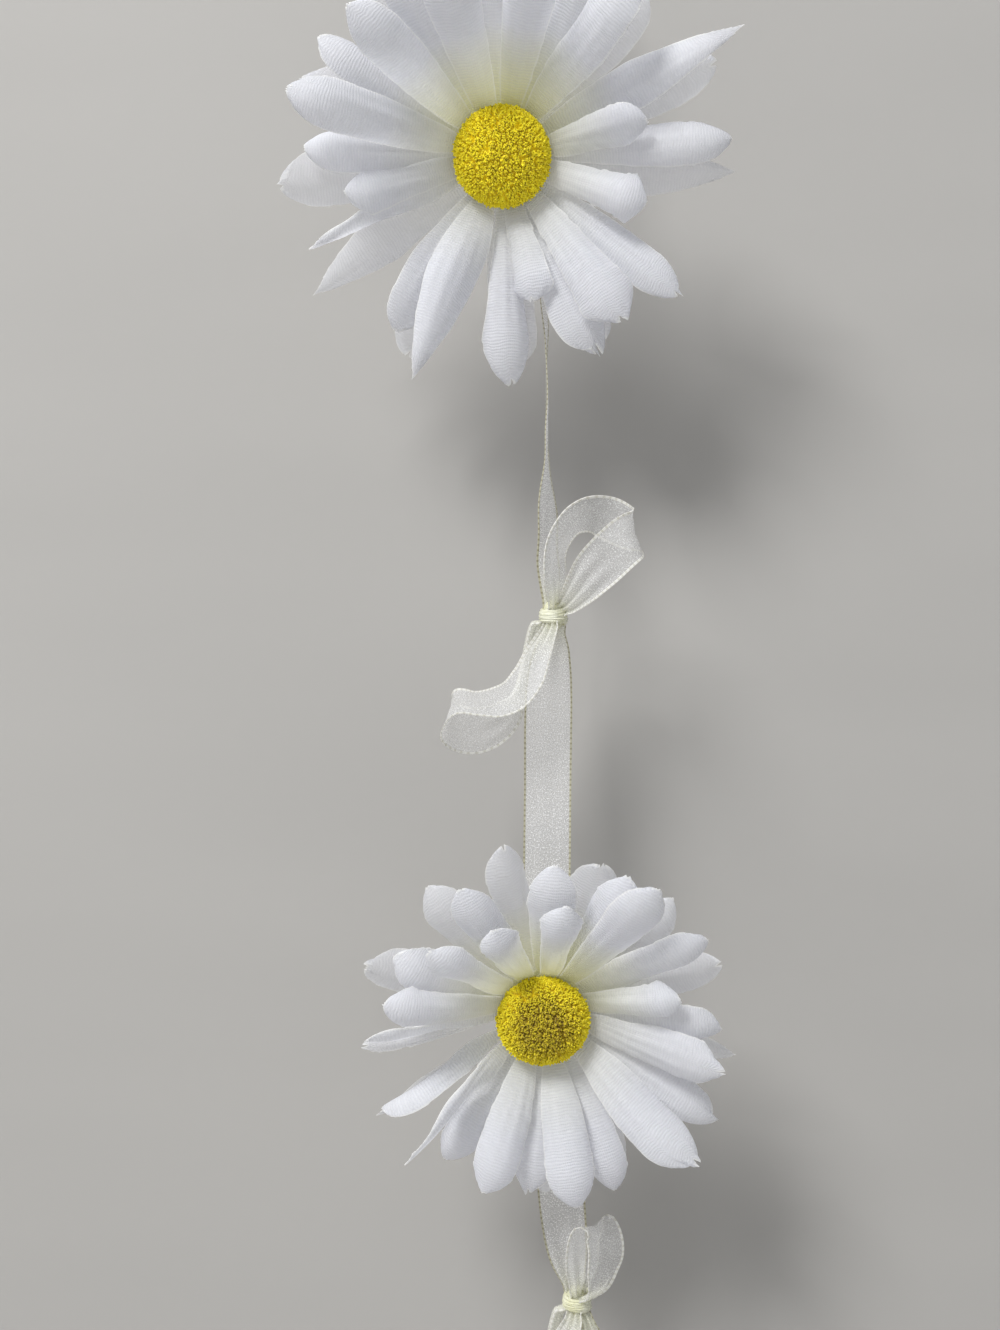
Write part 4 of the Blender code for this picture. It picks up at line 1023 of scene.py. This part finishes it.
def petal_finish(name, look, cover):
    """White ribbed cloth that light comes through: tinted beside the centre, with painted light making the tint
    stronger on the upper petals, painted shade in the rib valleys, and a painted highlight that makes the cut edge
    lighter.
    """
    nodes = Finish(name)
    vector = nodes.cloth()
    woven = nodes.grouped("Woven threads", vector, Rib_pitch=look.rib_pitch, Thread_pitch=0.00042, Drift=1.0)
    blotch = nodes.grouped("Mottle", nodes.place(), Scale=90.0)["Blotch"]
    near = nodes.ranged(nodes.parts_of(vector)["Y"], 0.018, 0.002)
    near = nodes.times(near, nodes.ranged(blotch, 0, 1, 0.7, 1.0))
    colour = nodes.layered(
        look.white,
        # Tint beside the centre, stronger on the upper petals, where the added part is painted light shining
        # through them
        (nodes.times(near, nodes.value("glow")), look.root_tint),
        (nodes.times(blotch, 0.3), (0.90, 0.90, 0.94)),
        (nodes.times(nodes.value("shade"), 0.25), (0.90, 0.895, 0.90)),
        # Painted shade in the valleys between the ribs
        (nodes.ranged(woven["Rib"], 0.75, 0.0, 0.0, 0.22), (0.74, 0.74, 0.79)),
        (nodes.ranged(woven["Grain"], 0.54, 0.70, 0.0, 0.8), (0.985, 0.985, 0.985)),
        # A painted highlight along the cut edge, where the frayed fibres catch the light
        (nodes.ranged(nodes.value("edge"), 0.45, 0.1, 0.0, 0.85), (0.995, 0.995, 0.985)),
    )
    rough = nodes.ranged(woven["Grain"], 0.3, 0.7, 0.85, 0.55)
    return nodes.surface(colour, rough, woven["Height"], 0.00007, through=0.7, cover=cover)


def flock_finish(name, look, heart):
    """Flock: yellow at the tufts' ends, darker between them and at their roots as painted shade, with a darker
    heart where it is given one.
    """
    nodes = Finish(name)
    mottled = nodes.grouped("Mottle", nodes.place(), Scale=170.0)
    fleck, shade = mottled["Fleck"], nodes.value("shade")
    drawn = nodes.maths("ADD", fleck, shade)
    yellow = nodes.layered(
        look.yellow,
        (nodes.times(shade, 0.35), (1.0, 0.91, 0.045)),
        (nodes.times(mottled["Blotch"], 0.25), (0.86, 0.68, 0.01)),
        (nodes.ranged(drawn, 0.5, 0.34, 0.0, 0.85), (0.34, 0.235, 0.006)),
    )
    high = nodes.times(nodes.value("tip"), nodes.ranged(shade, 0.0, 0.16, 0.25, 1.0))
    inner = nodes.ranged(nodes.value("heart"), 0.9, 0.45, 0.0, heart)
    dark = nodes.times(inner, nodes.ranged(drawn, 0.25, 1.1, 1.0, 0.45))
    # The tufts' roots and the dome between them take the darker colour: painted shade
    colour = nodes.layered(look.tuft_root_shade, (nodes.ranged(high, 0.0, 0.6), yellow), (dark, look.brown))
    return nodes.surface(colour, nodes.ranged(fleck, 0, 1, 0.95, 0.8), fleck, 0.00005, sheen=0.15)


def ribbon_finish(name, look, lit_share):
    """Sheer ivory organza: threads and painted glints, denser where it bunches, and stitched selvedges.

    A lit share paints the selvedges brighter, and the cloth thinner: painted light where the light catches them.
    """
    nodes = Finish(name)
    vector, bunch = nodes.cloth(), nodes.value("bunch")
    woven = nodes.grouped("Woven threads", vector, Rib_pitch=0.00027, Thread_pitch=0.00025, Drift=0.8)
    inside = RIBBON_WIDTH * MM / 2 - look.selvedge * (1 + 0.5 * lit_share)
    edges = nodes.grouped("Selvedge", vector, Inside=inside, Stitch=0.0011)
    # Painted glints: spots painted white where the sheer threads catch the light; they also stop more light and are
    # smoother
    glint_spots = nodes.ranged(nodes.noise(vector, 3200.0, 1.0, 0.6), 0.52, 0.65)
    colour = nodes.layered(
        look.ivory,
        (glint_spots, (1.0, 1.0, 1.0)),
        (nodes.times(bunch, 0.6), look.bunched),
        # Selvedges painted brighter by the lit share: painted light
        (edges["Edge"], [low + (1.0 - low) * lit_share for low in look.edge_colour]),
        (nodes.times(edges["Stitches"], 0.85 - 0.7 * lit_share), (0.36, 0.33, 0.20)),
    )
    thin = 1.0 - 0.22 * lit_share
    threads = nodes.ranged(woven["Height"], 0.1, 1.2, look.cover * 0.5 * thin, look.cover * 0.8 * thin)
    cover = nodes.times_plus(bunch, 0.25, nodes.times_plus(glint_spots, 0.42 * thin, threads))
    cover = nodes.maths("MAXIMUM", cover, nodes.times(edges["Edge"], 0.8 + 0.15 * lit_share))
    cover = nodes.maths("MINIMUM", cover, 0.97)
    height = nodes.times_plus(glint_spots, 0.8, woven["Height"])
    rough = nodes.ranged(height, 0.0, 2.0, 0.5, 0.25)
    return nodes.surface(colour, rough, height, 0.00004, through=0.45, cover=cover)


def knot_finish(look):
    """The same cloth bunched in a knot: pale yellow, with threads that follow the wraps."""
    nodes = Finish("Bunched organza")
    woven = nodes.grouped("Woven threads", nodes.cloth(), Rib_pitch=0.0004, Thread_pitch=0.0005, Drift=1.0)
    blotch = nodes.grouped("Mottle", nodes.place(), Scale=260.0)["Blotch"]
    grain = woven["Grain"]
    lit = (nodes.ranged(grain, 0.52, 0.72, 0.0, 0.8), (0.95, 0.95, 0.86))
    colour = nodes.layered(look.bunched, (blotch, (0.80, 0.79, 0.52)), lit)
    rough = nodes.ranged(grain, 0.3, 0.7, 0.6, 0.35)
    return nodes.surface(colour, rough, woven["Height"], 0.00008, sheen=0.3, through=0.3)


def plastic_finish():
    """Satin moulding with a faint grain, duller where it has been handled."""
    nodes = Finish("Satin white collar")
    mottled = nodes.grouped("Mottle", nodes.place(), Scale=220.0)
    colour = nodes.layered((0.80, 0.82, 0.78), (mottled["Blotch"], (0.73, 0.75, 0.70)))
    return nodes.surface(colour, nodes.ranged(mottled["Fleck"], 0, 1, 0.35, 0.5), mottled["Fleck"], 0.00002)


def felt_finish():
    """White felt: matted fibres that noise lifts at two scales."""
    nodes = Finish("White felt")
    vector = nodes.place()
    blotch = nodes.grouped("Mottle", vector, Scale=300.0)["Blotch"]
    fibres = nodes.noise(vector, 2600.0, 4.0, 0.75)
    lit = (nodes.ranged(fibres, 0.45, 0.7, 0.0, 0.6), (0.93, 0.92, 0.89))
    colour = nodes.layered((0.82, 0.81, 0.77), (blotch, (0.74, 0.73, 0.69)), lit)
    return nodes.surface(colour, nodes.ranged(fibres, 0, 1, 1.0, 0.8), fibres, 0.00018, sheen=0.4)


def plaster_finish(name, colour, see_through):
    """Smooth painted plaster; a wall is clear from behind, so that the back of the garland can be seen."""
    nodes = Finish(name)
    streaked = nodes.node("ShaderNodeMapping", {"Vector": nodes.place(), "Scale": (1.0, 1.0, 4.0)}).outputs[0]
    blotch = nodes.grouped("Mottle", streaked, Scale=9.0)["Blotch"]
    cover = None
    if see_through:
        behind_it = nodes.node("ShaderNodeNewGeometry").outputs["Backfacing"]
        cover = nodes.maths("SUBTRACT", 1.0, behind_it)
    return nodes.surface(nodes.layered(colour, (blotch, [c * 1.03 for c in colour])), 0.9, cover=cover)


def plate(name, corners, finish):
    """A flat stage surface through its corners in metres."""
    mesh = bpy.data.meshes.new(name)
    mesh.from_pydata(corners, [], [tuple(range(len(corners)))])
    mesh.materials.append(finish)
    linked(name, mesh)


class GARLAND_OT_stage(bpy.types.Operator):
    """Makes the camera, the soft light, the pale wall and the floor"""

    bl_idname = "garland.stage"
    bl_label = "Stage"

    def execute(self, context):
        look = context.scene.garland.stage
        camera = linked("camera", bpy.data.cameras.new("camera"))
        camera.data.lens = FOCAL_PIXELS / PICTURE_HEIGHT * SENSOR
        camera.data.sensor_width = SENSOR
        camera.location = [c * MM for c in EYE]
        camera.rotation_euler = (math.pi / 2, 0.0, 0.0)
        context.scene.camera = camera
        key = linked("key", bpy.data.lights.new("key", "AREA"))
        key.data.shape, key.data.size, key.data.energy = "DISK", KEY_SIZE, look.key
        key.location = KEY_PLACE
        key.rotation_euler = (Vector(KEY_AIM) - key.location).to_track_quat("-Z", "Y").to_euler()
        world = bpy.data.worlds.new("studio")
        world.use_nodes = True
        background = world.node_tree.nodes["Background"]
        background.inputs["Color"].default_value = SKY_COLOUR
        background.inputs["Strength"].default_value = look.sky
        context.scene.world = world
        context.scene.view_settings.view_transform = "Standard"
        around = ((-1, -1), (1, -1), (1, 1), (-1, 1))
        low, high = WALL_SPAN
        wall = [(x * WALL_HALF, look.wall_depth, low if y < 0 else high) for x, y in around]
        plate("wall", wall, plaster_finish("Painted wall", look.wall, True))
        floor = [(x * FLOOR_HALF, y * FLOOR_HALF, low) for x, y in around]
        plate("floor", floor, plaster_finish("Pale floor", FLOOR_COLOUR, False))
        return {"FINISHED"}


class GARLAND_OT_petals(bpy.types.Operator):
    """Makes the three die-cut layers of petals of each bloom"""

    bl_idname = "garland.petals"
    bl_label = "Petals"

    def execute(self, context):
        look = context.scene.garland.petals
        finishes = {}
        for layer, cover in COVERS.items():
            finishes[layer] = petal_finish(f"White petal cloth, {layer} layer", look, cover)
        thick = look.thickness / MM
        tables = (
            ("upper", UPPER_BLOOM, UPPER_FRONT, UPPER_MIDDLE, UPPER_BACK),
            ("lower", LOWER_BLOOM, LOWER_FRONT, LOWER_MIDDLE, LOWER_BACK),
        )
        for name, at, front_rows, middle_rows, back_rule in tables:
            seed, roll = at["seed"], at["roll"]
            layers = (
                ("front", shaped(front_rows, seed, FRONT_ARCH, roll), LAYER_SPACING),
                ("middle", shaped(middle_rows, seed + 2, MIDDLE_ARCH, roll), 0.0),
                ("back", back_petals(back_rule, seed + 4, roll), -LAYER_SPACING),
            )
            for k, (layer, petals, height) in enumerate(layers):
                cloth = f"{name}_{layer}_petal_cloth"
                obj = petal_layer(cloth, petals, height, at, thick, finishes[layer], 10 * seed + k)
                stands_for(obj, f"{name}_petals_{layer}")
        return {"FINISHED"}


class GARLAND_OT_centres(bpy.types.Operator):
    """Makes the flocked centres, and the collar and felt pad behind each bloom"""

    bl_idname = "garland.centres"
    bl_label = "Centres"

    def execute(self, context):
        look = context.scene.garland.centres
        flocks = (flock_finish("Yellow flock", look, 0.0), flock_finish("Yellow flock, dark heart", look, 1.0))
        plastic, felt = plastic_finish(), felt_finish()
        long = look.tuft_length / MM
        for name, at, flock in (("upper", UPPER_BLOOM, flocks[0]), ("lower", LOWER_BLOOM, flocks[1])):
            flocked_centre(f"{name}_flock", at, look.fibres, long, flock, f"{name}_centre", at["seed"] + 50)
            collar(f"{name}_ring", at, plastic, f"{name}_collar")
            felt_pad(f"{name}_felt", at, felt, f"{name}_pad", at["seed"] + 60)
        return {"FINISHED"}


class GARLAND_OT_ribbon(bpy.types.Operator):
    """Makes the hanging loop, the two lengths of sheer ribbon, the bows and their tails"""

    bl_idname = "garland.ribbon"
    bl_label = "Ribbon"

    def execute(self, context):
        look = context.scene.garland.ribbon
        finish = ribbon_finish("Ivory organza", look, 0.0)
        # The bow loops take a lit copy of the cloth, with selvedges painted brighter where the light catches them
        bow_finish = ribbon_finish("Ivory organza, painted lit edges", look, 0.8)
        up_left = [(out_of(TOP_KNOT, (-0.35, 0.0, 0.94)), ON_EDGE, TIED), *HANGING_LOOP_SIDE]
        down_right = [((-x, y, z), way, share) for (x, y, z), way, share in reversed(up_left)]
        top = ((0.0, 0.0, 0.3), ON_EDGE, 1.0)
        ribbon("hanging_loop", [*up_left, top, *down_right], look, finish, 1)
        route = [(out_of(TOP_KNOT, (0.0, 0.0, -1.0)), ACROSS, 0.5), *UPPER_LENGTH_ABOVE]
        route += [*on_pad(UPPER_BLOOM, UPPER_PAD_LINE), *UPPER_LENGTH_BELOW]
        route += [(out_of(MIDDLE_KNOT, (-0.25, 0.45, 0.85)), (0.6, 0.8, 0.0), TIED)]
        ribbon("ribbon_upper_length", route, look, finish, 2)
        route = [(out_of(MIDDLE_KNOT, (0.05, 0.3, -0.95)), ACROSS, TIED), *LOWER_LENGTH_ABOVE]
        route += [*on_pad(LOWER_BLOOM, LOWER_PAD_LINE), *LOWER_LENGTH_BELOW]
        route += [(out_of(BOTTOM_KNOT, (-0.2, 0.3, 0.93)), ACROSS, TIED)]
        ribbon("ribbon_lower_length", route, look, finish, 3)
        bows = (("middle", MIDDLE_KNOT, MIDDLE_RIGHT_LOOP), ("bottom", BOTTOM_KNOT, BOTTOM_RIGHT_LOOP))
        for name, place, rows in bows:
            bow_loop(f"bow_{name}_right_loop", place, rows, RIGHT_LOOP_EXITS, look, bow_finish, 4)
            bow_loop(f"bow_{name}_left_loop", place, LEFT_LOOP, LEFT_LOOP_EXITS, look, bow_finish, 5)
        tail("tail_left", *LEFT_TAIL, look, finish, 6)
        tail("tail_right", *RIGHT_TAIL, look, finish, 7)
        return {"FINISHED"}


class GARLAND_OT_knots(bpy.types.Operator):
    """Makes the three knots of bunched ribbon"""

    bl_idname = "garland.knots"
    bl_label = "Knots"

    def execute(self, context):
        finish = knot_finish(context.scene.garland.ribbon)
        places = {"top": TOP_KNOT, "middle": MIDDLE_KNOT, "bottom": BOTTOM_KNOT}
        for seed, (name, place) in enumerate(places.items()):
            knot(f"knot_{name}", place, finish, seed + 30)
        return {"FINISHED"}


class GARLAND_PT_panel(bpy.types.Panel):
    """Lists what can be made"""

    bl_label = "Daisy garland"
    bl_idname = "GARLAND_PT_panel"
    bl_space_type = "VIEW_3D"
    bl_region_type = "UI"
    bl_category = "Garland"

    def draw(self, context):
        for made_by in OPERATORS:
            self.layout.operator(made_by.bl_idname)


SETTINGS = (PetalSettings, CentreSettings, RibbonSettings, StageSettings, GarlandSettings)
OPERATORS = (GARLAND_OT_stage, GARLAND_OT_petals, GARLAND_OT_centres, GARLAND_OT_ribbon, GARLAND_OT_knots)


def register():
    for made in (*SETTINGS, *OPERATORS, GARLAND_PT_panel):
        bpy.utils.register_class(made)
    bpy.types.Scene.garland = PointerProperty(type=GarlandSettings)


def unregister():
    del bpy.types.Scene.garland
    for made in reversed((*SETTINGS, *OPERATORS, GARLAND_PT_panel)):
        bpy.utils.unregister_class(made)


def main():
    register()
    for made_by in OPERATORS:
        group_name, step = made_by.bl_idname.split(".")
        getattr(getattr(bpy.ops, group_name), step)()


if __name__ == "__main__":
    main()
